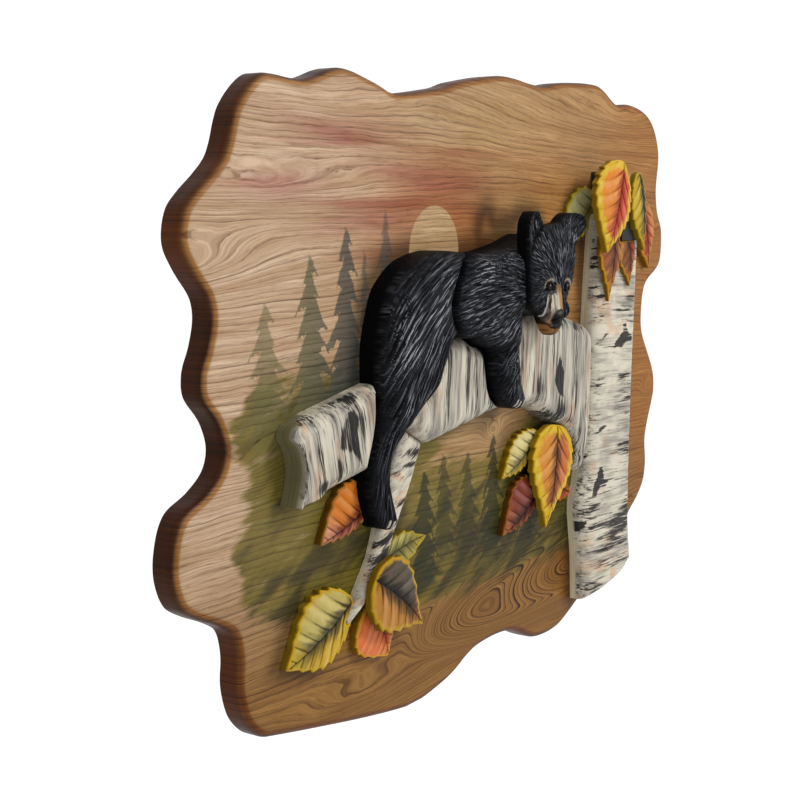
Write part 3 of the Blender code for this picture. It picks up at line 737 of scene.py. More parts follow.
# Guides of the fur's flow: place and direction in degrees
HIND_FLOW = (
    (-152, 106, -150), (-130, 108, -158), (-100, 108, -170), (-75, 105, -178), (-138, 87, -150),
    (-185, 66, -122), (-184, 40, -112), (-160, 76, -135), (-130, 71, -142), (-105, 80, -150),
    (-85, 80, -165), (-110, 55, -140), (-149, 50, -138), (-165, 30, -140), (-182, 20, -130),
    (-182, -5, -132), (-150, 20, -118), (-123, 34, -112), (-115, 10, -112), (-150, -4, -110),
    (-178, -25, -118), (-165, -35, -105), (-180, -60, -95), (-175, -85, -85), (-172, -98, -90),
)
SHOULDER_FLOW = (
    (-80, 104, -170), (-86, 90, -178), (-55, 105, 178), (-28, 106, 160), (-10, 108, 155), (30, 118, 165),
    (55, 118, 170), (-35, 92, 170), (-15, 92, 158), (5, 98, 150), (-78, 76, -170), (-90, 62, -160),
    (-60, 72, -170), (-56, 56, -155), (-30, 72, -178), (-30, 55, -145), (-20, 38, -128), (-75, 50, -150),
    (0, 70, -170), (15, 80, 160), (5, 50, -140), (-10, 15, -115), (10, 20, -108), (15, -5, -80),
    (20, -20, -75),
)
HEAD_FLOW = (
    (52, 112, 90), (51, 98, 90), (50, 86, 92), (35, 110, 118), (38, 98, 125), (28, 120, 120),
    (14, 108, 160), (8, 96, 178), (24, 96, 160), (10, 84, -165), (20, 82, -175), (16, 72, -145),
    (28, 68, -135), (32, 60, -125), (68, 108, 64), (66, 96, 60), (80, 98, 35), (84, 110, 48),
    (84, 88, 10), (78, 76, -35), (74, 66, -50), (13, 132, 96), (10, 120, 110), (22, 130, 80),
    (88, 128, 42), (98, 135, 38), (84, 134, 60), (46, 66, -95), (56, 48, -90),
)
PAW_FLOW = ((100, 56, -80), (90, 60, -100))

# Patches where the fur is dry-brushed pale and painted with highlights: place, half sizes, turn and strength
HIND_RUB_AND_SHEEN = ((-140, 68, 36, 40, 20, 0.9), (-172, 15, 18, 34, 0, 0.7))
SHOULDER_RUB_AND_SHEEN = ((-75, 80, 24, 38, 0, 0.9), (-10, 105, 36, 18, 0, 0.8), (-25, 40, 26, 30, 0, 0.4),
                 (2, 18, 28, 42, 0, 0.5))
HEAD_RUB_AND_SHEEN = ((14, 97, 15, 27, 0, 1.3), (52, 98, 8, 20, 0, 0.9), (94, 131, 14, 12, 0, 1.4),
             (20, 70, 12, 10, 0, 0.6))

# Tops of the claws
HIND_CLAWS = ((-174.5, -91.5), (-169, -93), (-164, -94))
FRONT_CLAWS = ((11, -18), (16, -20), (21, -18.8), (25.5, -15.8))


def rubbed(least, patches=(), less=0, reach=1):
    """How pale the fur's ridges are, from dry brushing and painted highlights: so much at least, more in the
    patches and less further down.
    """
    return lambda x, z: least + spots(x, z, patches) - less * ramp(-z, 0, reach)


def fur(node, name, coat, claw_tops=()):
    """Makes a piece of fur, with short pale claws down from their tops."""
    def claws(x, z):
        share = np.zeros(len(x))
        for px, pz in claw_tops:
            share = np.maximum(share, ramp(near_line(((px, pz), (px + 0.8, pz - 5)), x, z), 1.4, 0.6))
        return share

    def relief(x, z, depth):
        share = claws(x, z)
        return coat.relief(x, z, depth) * (1 - share) + (coat.form.height(x, z, depth) + 0.2) * share

    def paint(x, z, height, depth, wall):
        colour = coat.colour(x, z, height, depth, wall)
        return {"paint": mix(colour, CLAW, claws(x, z) * (1 - wall))}

    dress(node, surface(name, coat.form, relief, paint), black_paint)


# Camera, lights and floor

CAMERA_PLACE = (-1.0446, -0.639, 0.1508)
CAMERA_TURN = math.radians(56)
CAMERA_DIP = math.radians(7.958)
CAMERA_LENS = 62.77
LAMP_PLACE = (0.75, -1.55, 1.35)
LAMP_SIZE, LAMP_POWER = 0.55, 34
FLOOR_LEVEL, FLOOR_REACH = -1.2, 12


def placed(name, data, place, looks):
    """New object at a place, turned to look one way."""
    made = bpy.data.objects.new(name, data)
    made.location = place
    made.rotation_euler = looks.to_track_quat("-Z", "Y").to_euler()
    bpy.context.scene.collection.objects.link(made)
    return made


def build_camera():
    level = math.cos(CAMERA_DIP)
    looks = Vector((math.sin(CAMERA_TURN) * level, math.cos(CAMERA_TURN) * level, -math.sin(CAMERA_DIP)))
    data = bpy.data.cameras.new("camera")
    data.sensor_width = 36
    data.lens = CAMERA_LENS
    data.clip_start = 0.01
    bpy.context.scene.camera = placed("camera", data, CAMERA_PLACE, looks)


def build_studio():
    world = bpy.data.worlds.new("studio")
    world.use_nodes = True
    world.node_tree.nodes["Background"].inputs["Color"].default_value = (1, 1, 1, 1)
    world.node_tree.nodes["Background"].inputs["Strength"].default_value = SURROUNDINGS
    bpy.context.scene.world = world
    bpy.context.scene.view_settings.view_transform = "Standard"
    lamp = bpy.data.lights.new("key", "AREA")
    lamp.shape = "RECTANGLE"
    lamp.size = lamp.size_y = LAMP_SIZE
    lamp.energy = LAMP_POWER
    placed("key", lamp, LAMP_PLACE, -Vector(LAMP_PLACE))
    floor = bpy.data.meshes.new("floor")
    signs = ((-1, -1), (1, -1), (1, 1), (-1, 1))
    corners = [(FLOOR_REACH * x, FLOOR_REACH * y, FLOOR_LEVEL) for x, y in signs]
    floor.from_pydata(corners, [], [(0, 1, 2, 3)])
    ground = bpy.data.objects.new("floor", floor)
    pale = Finish("pale_floor", 0.9)
    cloud = pale.noise(pale.place, 2, 2)
    floor.materials.append(pale.finish(pale.mixed(cloud, (0.96, 0.96, 0.96), (0.98, 0.98, 0.98))))
    bpy.context.scene.collection.objects.link(ground)


build_camera()
build_studio()


# Bear

# Places on the face. An eye has the side that it leans to, and an ear its half sizes and turn
EYES = ((34.6, 80.4, 1), (68.5, 79, -1))
NOSE_X, NOSE_Z = 46.2, 53.2
BRIDGE = ((47.2, 60), (46.2, 70), (45.2, 80.5))
BRIDGE_SIDE = 5.9
MUZZLE = ((40, 77), (32.5, 73), (31.6, 65), (33, 54.5), (38, 49.5), (46, 44.5), (44, 61), (43.5, 72))
MUZZLE_EDGE = MUZZLE[:4]
MOUTH = ((22, 61), (30, 55.4), (38.5, 48.6), (46.6, 43.6), (55, 42.4), (64, 45))
EARS = ((14, 127, 5.5, 13, 10), (90, 130.5, 13, 5.5, 33))
EAR_PATCHES = (((27, 132), (18, 124), (9, 114), (1, 105), (-10, 108), (-10, 142), (30, 145)),
               ((61, 136), (67, 122), (79, 112), (90, 103), (114, 108), (114, 150), (60, 150)))

black_paint = fur_finish()
head = Form("bear_head", ROUND_HEAD, STEP_HEAD)
hind = Form("bear_hindquarters", ROUND_FUR, STEP_FUR)
fur("bear_hindquarters", "carved_hindquarters",
    Coat(hind, HIND_FLOW, 30, 11, rubbed(0.32, HIND_RUB_AND_SHEEN, 0.2, 60), 1.05), HIND_CLAWS)
head_seat = (outset(head.coarse, HEAD_EASE), FACE - head.back - GLUE_GAP)
shoulders = Form("bear_shoulders", ROUND_FUR, STEP_FUR, pockets=[head_seat])
fur("bear_shoulders", "carved_shoulders",
    Coat(shoulders, SHOULDER_FLOW, 16, 23, rubbed(0.25, SHOULDER_RUB_AND_SHEEN, 0.1, 20), 0.9), FRONT_CLAWS)
face_coat = Coat(head, HEAD_FLOW, 10, 37, rubbed(0.3, HEAD_RUB_AND_SHEEN), 0.85, 0.75)


def x_along(points, z):
    """x of a line at each z, from points in the order of their z."""
    return np.interp(z, [p[1] for p in points], [p[0] for p in points])


def face_masks(x, z):
    """Shares from 0 to 1 of each painted or modelled feature of the face, and the distance to the line
    along each side of its bridge."""
    eye, iris, socket, rim = (np.zeros(len(x)) for _ in range(4))
    for px, pz, side in EYES:
        ax, az = (x - px) * 0.94 + side * (z - pz) * 0.34, (z - pz) * 0.94 - side * (x - px) * 0.34
        far = np.hypot(ax / 5, az / 4)
        eye = np.maximum(eye, ramp(far, 1.08, 0.9))
        iris = np.maximum(iris, ramp(np.hypot(ax, az), 2.4, 1.9))
        socket = np.maximum(socket, ridge(far, 2.2))
        rim = np.maximum(rim, ridge(far - 1.55, 0.3) * ramp(az, 0.5, 3))
    low = unit((BRIDGE[-1][1] - z) / 20)
    to_bridge = near_line(BRIDGE, x, z)
    bridge = ramp(to_bridge - 1.8 - 2.6 * low, 0.9, -0.9)
    nose_x, nose_z = (x - NOSE_X) / 7, (z - NOSE_Z) / 7.8
    nose = ramp(np.hypot(nose_x * (1 - 0.18 * nose_z), nose_z), 1.04, 0.9)
    nostril = (spot(x, z, NOSE_X - 3.8, NOSE_Z - 1.6, 2.3, 1.6, 25)
               + spot(x, z, NOSE_X + 4, NOSE_Z - 1.6, 2, 1.6, -25))
    ear, seam = np.zeros(len(x)), np.full(len(x), 99.0)
    for outline in EAR_PATCHES:
        ear = np.maximum(ear, within(outline, x, z, 1.3))
        seam = np.minimum(seam, near_line(outline[:4], x, z))
    above_mouth = z - np.interp(x, *zip(*MOUTH))
    return SimpleNamespace(
        eye=eye, iris=iris, socket=socket, rim=rim, bridge=bridge, nose=nose, nostril=nostril, ear=ear,
        seam=ridge(seam, 1.6), crease=to_bridge - BRIDGE_SIDE, side=within(MUZZLE, x, z, 0.9) * (1 - bridge),
        mouth=ridge(near_line(MOUTH, x, z), 0.75) * ramp(x, 22, 26),
        line=ridge(near_line(MUZZLE_EDGE, x, z), 0.65) * between(z, 50, 53, 71, 75),
        jaw=ramp(above_mouth, 0.6, -0.8) * between(x, 17, 21, 66, 70) * ramp(z, 56, 53.5),
        lip=ramp(np.hypot(nose_x * 0.72, nose_z * 0.9), 1.25, 1) * ramp(above_mouth, -0.5, 1))


def face_relief(x, z, depth):
    m = face_masks(x, z)
    bare = np.maximum.reduce([m.eye, m.bridge, m.nose, m.side, m.jaw, m.lip])
    height = head.height(x, z, depth)
    height = height + (face_coat.relief(x, z, depth) - height) * (1 - bare)
    height = height - 1.8 * m.socket + 1.9 * m.eye + 0.9 * m.rim - 1.2 * m.mouth - 0.5 * m.line
    height = height + 0.5 * m.bridge + 1.2 * m.nose - 1.5 * m.nostril
    height = height - 0.9 * ridge(m.crease, 0.9) * between(z, 58, 63, 74, 80)
    height = height - (1.4 * m.ear + 1.5 * m.seam) * ramp(depth, 0.5, 4)
    for ear in EARS:
        height = height - 2.4 * spot(x, z, *ear) * ramp(depth, 1, 4)
    return np.minimum(height, TOP - 0.02)


def face_paint(x, z, height, depth, wall):
    m = face_masks(x, z)
    rough = layered(x / 2.2, z / 4, 61)
    pink = mix(tone(206, 168, 136), tone(230, 214, 192), unit(ramp(z, 46, 64) + 0.4 * rough))
    from_edge = x - x_along(MUZZLE_EDGE[::-1], z) + 1.2 * rough
    shaded = ramp(from_edge, 6.4, 4.2) * ramp(z, 46, 54) * (1 + 0.4 * rough)
    from_middle = x - x_along(BRIDGE, z) + 0.5 * rough
    # The bridge is white along its left side as a painted highlight, tan further right and browner towards
    # its top
    tan = laid(tone(232, 222, 206), (tone(194, 146, 92), ramp(from_middle, -2.6, -0.4)),
               (tone(128, 96, 66), 0.7 * ramp(z, 73, 80)))
    jaw = mix(tone(160, 114, 66), tone(96, 62, 34), ramp(rough, -0.4, 0.5))
    # The nose is black, with a paler spot at its top as a painted highlight
    nose = mix(tone(34, 33, 31), tone(104, 103, 94), spot(x, z, NOSE_X - 0.5, NOSE_Z + 4.2, 4, 1.6))
    colour = face_coat.colour(x, z, height, depth, wall)
    # The ear hollows are darkened as painted shade
    for px, pz, wide, tall, turn in EARS:
        colour = mix(colour, SHADE_BLACK, 0.4 * spot(x, z, px, pz, wide * 0.7, tall * 0.7, turn))
    # Painted shade: the dark seam at the foot of each ear, the darkening under the nose and the dark line
    # beside the bridge
    colour = laid(colour, (SHADE_BLACK, 0.95 * m.seam), (laid(pink, (tone(50, 47, 48), shaded)), m.side),
                  (tone(70, 56, 46), 0.35 * m.lip * m.side), (jaw, m.jaw),
                  (tan * (1 + 0.1 * rough[:, None]), m.bridge),
                  (tone(36, 30, 28), 0.7 * ridge(m.crease, 0.8) * ramp(z, 57, 61)),
                  (tone(222, 218, 208), 1.1 * m.line), (tone(202, 188, 168), m.rim * (0.75 + 0.3 * rough)),
                  (tone(30, 22, 17), 0.9 * m.mouth), (nose, m.nose),
                  (tone(10, 9, 9), np.minimum(1.3 * m.nostril, 1) * m.nose),
                  (tone(14, 11, 10), m.eye), (tone(74, 42, 22), 0.8 * m.iris))
    for px, pz, _ in EYES:
        colour = mix(colour, tone(8, 7, 7), spot(x, z, px, pz, 1.1, 1.1))
        # A pale dot in each eye is a painted highlight
        colour = mix(colour, tone(230, 230, 228), 0.9 * spot(x, z, px + 1.1, pz + 1.2, 0.55, 0.5))
    # The walls are painted shade, except along the jaw
    return {"paint": mix(colour, SHADE_BLACK, wall * (1 - m.jaw))}


dress("bear_head", surface("carved_head", head, face_relief, face_paint), black_paint)
paw = Form("bear_far_paw", ROUND_PAW, STEP_PAW)
fur("bear_far_paw", "carved_far_paw", Coat(paw, PAW_FLOW, 8, 41, rubbed(0.3)))


# Birch wood

CREAM = tone(232, 224, 204)
GREY_CREAM = tone(205, 198, 182)
PEACH = tone(222, 184, 152)
BARE_SIDE = shown(206, 194, 164) / SURROUNDINGS
SAWN_END = shown(104, 98, 70) / SURROUNDINGS


def nowhere(x, z):
    return 0


def birch(node, finish, seed, across, ink_spots, bare, ink=0.38, wash=0.42, end=nowhere, more_ink=nowhere,
          knots=(), rounded=None, pockets=(), radius=ROUND_BARK):
    """Makes a piece of painted birch. across holds the cell sizes of its patches along x and z, bare is how
    much of its side walls is left unpainted, and end(x, z) says where its sawn end is."""
    form = Form(node, radius, STEP_BARK, rounded, pockets)
    wide, high = across

    def relief(x, z, depth):
        broad = noise(x * 3 / wide, z * 3 / high, seed)
        strokes = broad + 0.6 * noise(x * 8 / wide, z * 8 / high, seed + 1)
        return form.height(x, z, depth) + (0.22 * strokes - 0.35) * ramp(depth, 0, 2)

    def paint(x, z, height, depth, wall):
        cloud, other = (layered(x / wide, z / high, seed + k) for k in (1, 6))
        black = ink + 0.09 * cloud
        for row in ink_spots:
            black = np.maximum(black, ink + spots(x, z, [row]) + 0.05 * cloud)
        black = black + more_ink(x, z)
        for knot in knots:
            inner = within(knot, x + 2.4 * cloud, z + 1.2 * other, 4)
            black = np.maximum(black, ink - 0.2 + 0.44 * inner)
        sawn = wall * end(x, z)
        colour = laid(CREAM, (PEACH, 0.75 * ramp(other, 0.12, 0.55)),
                      (GREY_CREAM, 0.6 * ramp(-other, 0.1, 0.6)), (BARE_SIDE, bare * wall), (SAWN_END, sawn))
        return {"paint": colour, "ink": black, "bare": np.maximum(bare * wall, sawn),
                "wash": wash - 0.12 * cloud + 0.25 * unit(black - ink)}

    dress(node, surface("painted_" + node, form, relief, paint), finish)


# Patches of ink: place, half sizes, turn and strength
TRUNK_INK = tuple(
    (198 + 3 * math.sin(7 * k), 38 + 7.1 * k + 3 * math.sin(11 * k), 6,
     1.8 + 0.9 * math.sin(5 * k), 6, 0.2 + 0.07 * math.sin(3 * k)) for k in range(11)) + (
    (207, 22, 9, 2.4, 18, 0.3), (262, 54, 26, 8, 10, 0.13), (196, -26, 18, 10, 8, 0.16),
    (204, -70, 12, 2.6, 12, 0.3), (252, -48, 30, 6, 10, 0.12), (266, -98, 24, 9, 10, 0.16),
    (185, -150, 26, 7, 10, 0.12), (255, -178, 34, 15, 12, 0.15), (196, -232, 18, 8, 8, 0.15),
    (264, 100, 18, 5, 10, 0.14), (262, -20, 24, 6, 10, 0.12), (190, -60, 10, 6, 10, 0.12))
LEFT_LOG_INK = ((-222, 8, 20, 6, 10, 0.2), (-274, 0, 14, 5, 8, 0.2), (-278, -25, 7, 20, 20, 0.16),
                (-236, -42, 4, 12, 10, 0.2), (-252, -52, 9, 6, 10, 0.18), (-208, -10, 6, 30, 0, 0.12))
MIDDLE_LOG_INK = ((-86, 20, 4, 60, 0, 0.16), (-53, 20, 7, 60, -4, 0.16), (-18, -15, 10, 24, 0, 0.18),
                  (-30, 30, 4, 30, 0, 0.12))
RIGHT_LOG_INK = ((71, -16, 9, 14, 0, 0.2), (116, -42, 14, 12, 0, 0.18), (142, 4, 10, 44, 0, 0.12),
                 (142, 38, 24, 6, -14, 0.18), (152, -80, 8, 34, 0, 0.18), (96, -44, 30, 7, -8, 0.16),
                 (96, 30, 5, 30, 0, 0.1))
TWIG_INK = ((-125, -46, 12, 4, 0, 0.3), (-128, -56, 12, 3, 0, 0.26), (-160, -110, 12, 4, 20, 0.3),
            (-166, -122, 12, 4, 20, 0.3), (-174, -136, 12, 4, 20, 0.28), (-140, -84, 10, 3, 10, 0.26))

# Knots in the bark, as outlines
TRUNK_KNOTS = (
    ((226, 8), (236, 19), (246, 24), (250, 34), (258, 34), (264, 22), (274, 20), (270, 11), (256, 12),
     (246, 7), (236, 9)),
    ((184, -136), (190, -122), (196, -118), (200, -106), (208, -108), (214, -120), (226, -126), (216, -132),
     (204, -129), (194, -138)),
    ((146, -154), (160, -158), (184, -156), (178, -164), (170, -178), (162, -180), (154, -168)),
    ((146, -208), (158, -204), (174, -206), (180, -216), (172, -230), (160, -234), (150, -226)))
LEFT_LOG_KNOTS = (((-236, -16), (-233, -6), (-226, 0), (-218, 2), (-212, -6), (-213, -18), (-210, -30),
                   (-206, -46), (-212, -40), (-218, -33), (-228, -30), (-236, -26)),)
RIGHT_LOG_KNOTS = (((104, 4), (110, 14), (113, 2), (118, -4), (116, -18), (120, -30), (110, -26), (104, -20),
                    (98, -10)),)
ON_TRUNK, ON_LOGS, ON_TWIG = (30, 15), (13, 46), (14, 9)

birch_trunk = birch_finish("birch_paint", -3, 13, 120)
birch_logs = birch_finish("birch_paint_logs", 86, 9, 100)
birch_left = birch_finish("birch_paint_left", 102, 11, 120)
birch_twig = birch_finish("birch_paint_twig", 24, 40, 200)
golden = Form("leaf_golden", ROUND_LEAF, STEP_LEAF)
golden_seat = (outset(golden.coarse, LEAF_EASE), FACE - golden.back - GLUE_GAP)

birch("trunk", birch_trunk, 51, ON_TRUNK, TRUNK_INK, 1, ink=0.35, wash=0.38, knots=TRUNK_KNOTS,
      more_ink=lambda x, z: 0.05 * ramp(x, 235, 285) + 0.05 * ramp(-z, 60, 180))
birch("log_left", birch_left, 53, ON_LOGS, LEFT_LOG_INK, 0.5, knots=LEFT_LOG_KNOTS,
      rounded=lambda x, z: x > -272, end=lambda x, z: ramp(x, -258, -264))
birch("log_middle", birch_logs, 55, ON_LOGS, MIDDLE_LOG_INK, 0.3, wash=0.44)
birch("log_right", birch_logs, 57, ON_LOGS, RIGHT_LOG_INK, 0.3, wash=0.44, knots=RIGHT_LOG_KNOTS,
      pockets=[golden_seat])
birch("twig", birch_twig, 59, ON_TWIG, TWIG_INK, 0.8, ink=0.37, wash=0.36, radius=ROUND_TWIG)


# Leaves and the block under them

riser = Form("leaf_riser", ROUND_RISER, STEP_RISER)
# The riser is black, with the top of its side wall painted grey as a highlight
piece = surface("painted_riser", riser, riser.height, lambda x, z, height, depth, wall: {
    "paint": mix(tone(16, 15, 14), tone(120, 116, 108), ramp(z, 178, 184) * wall)})
dress("leaf_riser", piece, riser_finish())

# Leaf's name, stem, tip, paint and width of the colour along its edge, then the colours of the edge, the
# two sides, the heart and the end. The first side is on the left when looking from the stem to the tip.
LEAF_LOOKS = (
    ("rust", (-173, -77), (-239.5, -99.5), "rust", 1,
        (180, 120, 26), (232, 136, 100), (232, 130, 28), (104, 24, 8), (240, 166, 128)),
    ("olive", (-161, -131), (-96, -120), "olive", 1.4,
        (196, 172, 46), (196, 184, 100), (180, 168, 84), (110, 104, 50), (206, 180, 66)),
    ("red", (-174, -156), (-152, -208), "red", 1.4,
        (240, 176, 40), (248, 134, 66), (244, 124, 60), (190, 60, 28), (248, 150, 70)),
    ("brown", (-186, -136), (-119, -188), "brown", 3.4,
        (212, 164, 22), (92, 80, 60), (196, 132, 40), (20, 18, 17), (190, 118, 28)),
    ("yellow", (-200, -151), (-282, -184.5), "yellow", 2.2,
        (220, 176, 30), (222, 178, 34), (206, 188, 104), (34, 34, 22), (214, 182, 50)),
    ("cream", (99, -61), (30, -94), "cream", 1,
        (218, 174, 20), (230, 190, 40), (236, 218, 148), (104, 98, 58), (230, 208, 96)),
    ("burgundy", (103, -113), (32, -147), "burgundy", 0.6,
        (166, 100, 26), (166, 72, 28), (132, 52, 34), (40, 12, 8), (200, 112, 52)),
    ("tip", (124, -114), (164, -129), "rust", 1,
        (188, 96, 26), (180, 82, 30), (176, 74, 28), (110, 36, 16), (200, 110, 40)),
    ("golden", (117.6, -55), (98, -150), "golden", 10,
        (238, 192, 30), (214, 112, 34), (228, 144, 38), (84, 46, 26), (210, 108, 34)),
    ("bent", (213, 158), (137, 112), "yellow", 1.6,
        (236, 206, 50), (236, 214, 90), (244, 234, 160), (190, 178, 96), (226, 190, 60)),
    ("scarlet", (214, 192), (182, 105.5), "scarlet", 9,
        (236, 190, 34), (220, 82, 28), (240, 140, 34), (160, 26, 14), (220, 104, 50)),
    ("amber", (214, 152), (205.5, 57), "amber", 1.8,
        (216, 158, 28), (176, 96, 34), (164, 88, 34), (90, 46, 24), (216, 140, 32)),
    ("umber", (240, 142), (253.5, 70), "brown", 1.6,
        (206, 152, 34), (180, 78, 30), (140, 78, 38), (94, 42, 24), (206, 116, 36)),
    ("green", (250, 183), (267, 105.5), "green", 1.6,
        (214, 178, 30), (78, 82, 52), (208, 174, 32), (60, 60, 34), (170, 142, 36)),
    ("far", (316, 156), (337, 85), "red", 1.8,
        (212, 150, 36), (210, 120, 34), (206, 62, 32), (136, 28, 20), (208, 140, 44)),
)


def leaf_veins(stem, tip, x, z):
    """Share of the way from the stem to the tip, distance to the left of the midrib, how close each place
    is to the midrib and to a side vein, its place between the veins, and the leaf's length."""
    length = math.dist(stem, tip)
    along_x, along_z = (tip[0] - stem[0]) / length, (tip[1] - stem[1]) / length
    t = (x - stem[0]) * along_x + (z - stem[1]) * along_z
    s = (z - stem[1]) * along_x - (x - stem[0]) * along_z - 0.03 * length * np.sin(math.pi * t / length)
    spacing = length / 6.3
    wide = 1.35 - 0.75 * unit(t / length)
    reach = np.abs(s)
    order = (t - reach * 0.95 + 0.008 * s**2) / spacing + np.where(s > 0, 0.12, 0.5)
    side = ridge(np.abs(order - np.round(order)) * spacing * 0.74, 0.48)
    side = side * (1 - 0.8 * ramp(reach, 0.14 * length, 0.26 * length))
    return t / length, s, ridge(s, wide), side, order, length


def leaf(name, stem, tip, paint_name, edge_width, *colours):
    node, slot = "leaf_" + name, "leaf_" + paint_name
    form = golden if name == "golden" else Form(node, ROUND_LEAF, STEP_LEAF)
    edge, left, right, heart, end = (tone(*c) for c in colours)

    def relief(x, z, depth):
        _, _, midrib, side, order, _ = leaf_veins(stem, tip, x, z)
        panel = 0.225 * (1 - (order - np.floor(order))) ** 2
        curl = 0.3 * layered(x / 12, z / 12, 73)
        return form.height(x, z, depth) - ramp(depth, 0, 2) * (midrib + 0.75 * side + panel + 0.35 + curl)

    def paint(x, z, height, depth, wall):
        t, s, midrib, side, order, length = leaf_veins(stem, tip, x, z)
        cloud = layered(x / 8, z / 8, 71)
        streak = layered(order * 4, np.abs(s) / 14, 77)
        flame = 0.7 - np.abs(s) / (0.15 * length) + 0.9 * streak + 0.3 * cloud
        from_edge = depth + 0.5 * edge_width * (cloud + 0.6 * streak)
        colour = laid(mix(right, left, ramp(s + 3 * cloud, -2.5, 2.5)),
                      (heart, 0.85 * ramp(flame, -0.45, 0.75)),
                      (end, 0.8 * ramp(t + 0.12 * cloud, 0.62, 0.95)),
                      (edge, ramp(from_edge, 1.1 * edge_width + 0.6, 0.4 * edge_width)))
        lucky = ramp(hashed(np.floor(order), np.sign(s), 79), -0.2, 0.7)
        lit = between(order - np.floor(order), 0.05, 0.25, 0.3, 0.9) * (0.35 + 0.65 * lucky)
        lit = lit * ramp(np.abs(s), 2, 0.12 * length) * ramp(depth, 1, 3)
        veins = np.minimum(0.9 * midrib + 0.75 * side, 1) * ramp(depth, 0.3, 2)
        bright = np.minimum(colour * 1.3 + 0.07, 0.5)
        # The side walls take a darker copy of the edge colour as painted shade
        return {"paint": laid(colour, (bright, 0.55 * lit), (heart * 0.3, veins), (edge * 0.42, wall))}

    dress(node, surface("painted_" + node, form, relief, paint), leaf_finish(slot + "_" + node))


for look in LEAF_LOOKS:
    leaf(*look)


# Board

# Spacing of the lines of the grain, and bends in them: centre, half sizes, turn and lines that each moves
RING = 4.8
BENDS = ((24, -50, 15, 9, 0, 4.5), (360, -45, 16, 9, 0, 4.5), (-385, 110, 95, 21, 0, 7),
         (-400, 164, 250, 15, 0, 5), (250, 235, 160, 22, 0, 4), (-60, 240, 120, 20, 0, -3),
         (-330, -30, 70, 20, 0, 5), (-170, -235, 110, 20, 0, 6), (120, 60, 260, 40, 0, -4),
         (330, 120, 120, 24, 0, 5))

# Nested arcs near the bottom: centre, spacing, how many times longer than high, half sizes of their patch
ARCS = (182, -204, 2.5, 3.4, 250, 38)

SUN_X, SUN_Z, SUN_RADIUS = -75, 113, 37.5

# Round patches, by place, half sizes and turn: of bold grain, of the sky's glow and of a bare clearing
BOLD_GRAIN = (90, -206, 150, 30)
GLOW = (80, 130, 150, 60)
CLEARING = (20, -44, 84, 24, 8)

EDGE_RINGS = (0.35, 1, 1.8, 2.8, 4.2, 6)  # distances in from the edge of the rings of points along it

# Reddish purple patches of the painted sky: place, half sizes, turn and strength
SKY_PATCHES = ((-217, 203, 62, 9, -6, 1), (-258, 163, 52, 12, 0, 1), (-120, 176, 70, 7, -4, 1),
               (-30, 170, 80, 14, 0, 1), (-170, 140, 60, 12, 6, 1))

# Painted firs: foot's x, top, foot's z, half width and number of tiers, the far ones first
FAR_FIRS = ((-294, 83, -40, 36, 8), (-174, 117, -20, 18, 7), (-146, 146, -40, 28, 10),
            (-20, -62, -172, 30, 8), (18, -80, -170, 26, 7), (62, -54, -174, 32, 9), (112, -70, -172, 30, 8),
            (150, -58, -174, 30, 8), (-60, -58, -164, 30, 8), (196, 20, -120, 26, 10))
NEAR_FIRS = ((-242, 114, -60, 40, 10), (-198, 134, -60, 44, 10), (-90, -68, -184, 34, 8),
             (24, -52, -184, 30, 9), (86, -64, -186, 34, 8))

# Pieces that cast a soft shade on the board
BEAR_NODES = ("bear_hindquarters", "bear_shoulders", "bear_head")
OTHER_NODES = ("trunk", "log_left", "log_middle", "twig", "leaf_yellow", "leaf_brown", "leaf_rust",
               "leaf_golden", "leaf_burgundy", "leaf_cream")


def grain_field(x, z):
    """Number of lines of the grain up to each place, the same all along one line."""
    wander = 5 * layered(x / 150, z / 60, 81) + 1.2 * layered(x / 26, z / 12, 83)
    lines = (z + 0.02 * x + wander) / RING + spots(x, z, BENDS)
    cx, cz, spacing, longer, wide, tall = ARCS
    rise = z - cz - 0.03 * (x - cx)
    arcs = cz / RING + np.hypot((x - cx) / longer, rise) / spacing + 0.35 * layered(x / 30, z / 14, 85)
    share = ramp(np.hypot((x - cx) / wide, rise / tall), 1.25, 0.55)
    return lines * (1 - share) + arcs * share


def fir_field(firs, x, z):
    """How far inside the nearest fir each place is, and how far down that fir."""
    best, down = np.full(len(x), -60.0), np.zeros(len(x))
    ragged = 0.2 * noise(x / 9, z / 9, 97)
    for k, (foot, top, base, wide, tiers) in enumerate(firs):
        t = (top - z) / (top - base)
        off = np.abs(x - foot)
        steps = (t - 0.5 * off / (top - base)) * tiers + 0.42 * (x > foot) + ragged
        longer = 1 + 0.3 * hashed(np.floor(steps), np.sign(x - foot), k)
        half = wide * np.maximum(t, 0) ** 0.62 * (0.3 + 0.7 * (steps - np.floor(steps))) * longer + 0.8
        droop = np.where((t > -0.01) & (t < 1), half - off, -60)
        down = np.where(droop > best, unit(t), down)
        best = np.maximum(best, droop)
    return best, down


def distance_to(nodes, x, z):
    outlines = np.concatenate([densified(Form(node, 1, 4).coarse, 3) for node in nodes])
    return nearest(tree_of(outlines), x, z)


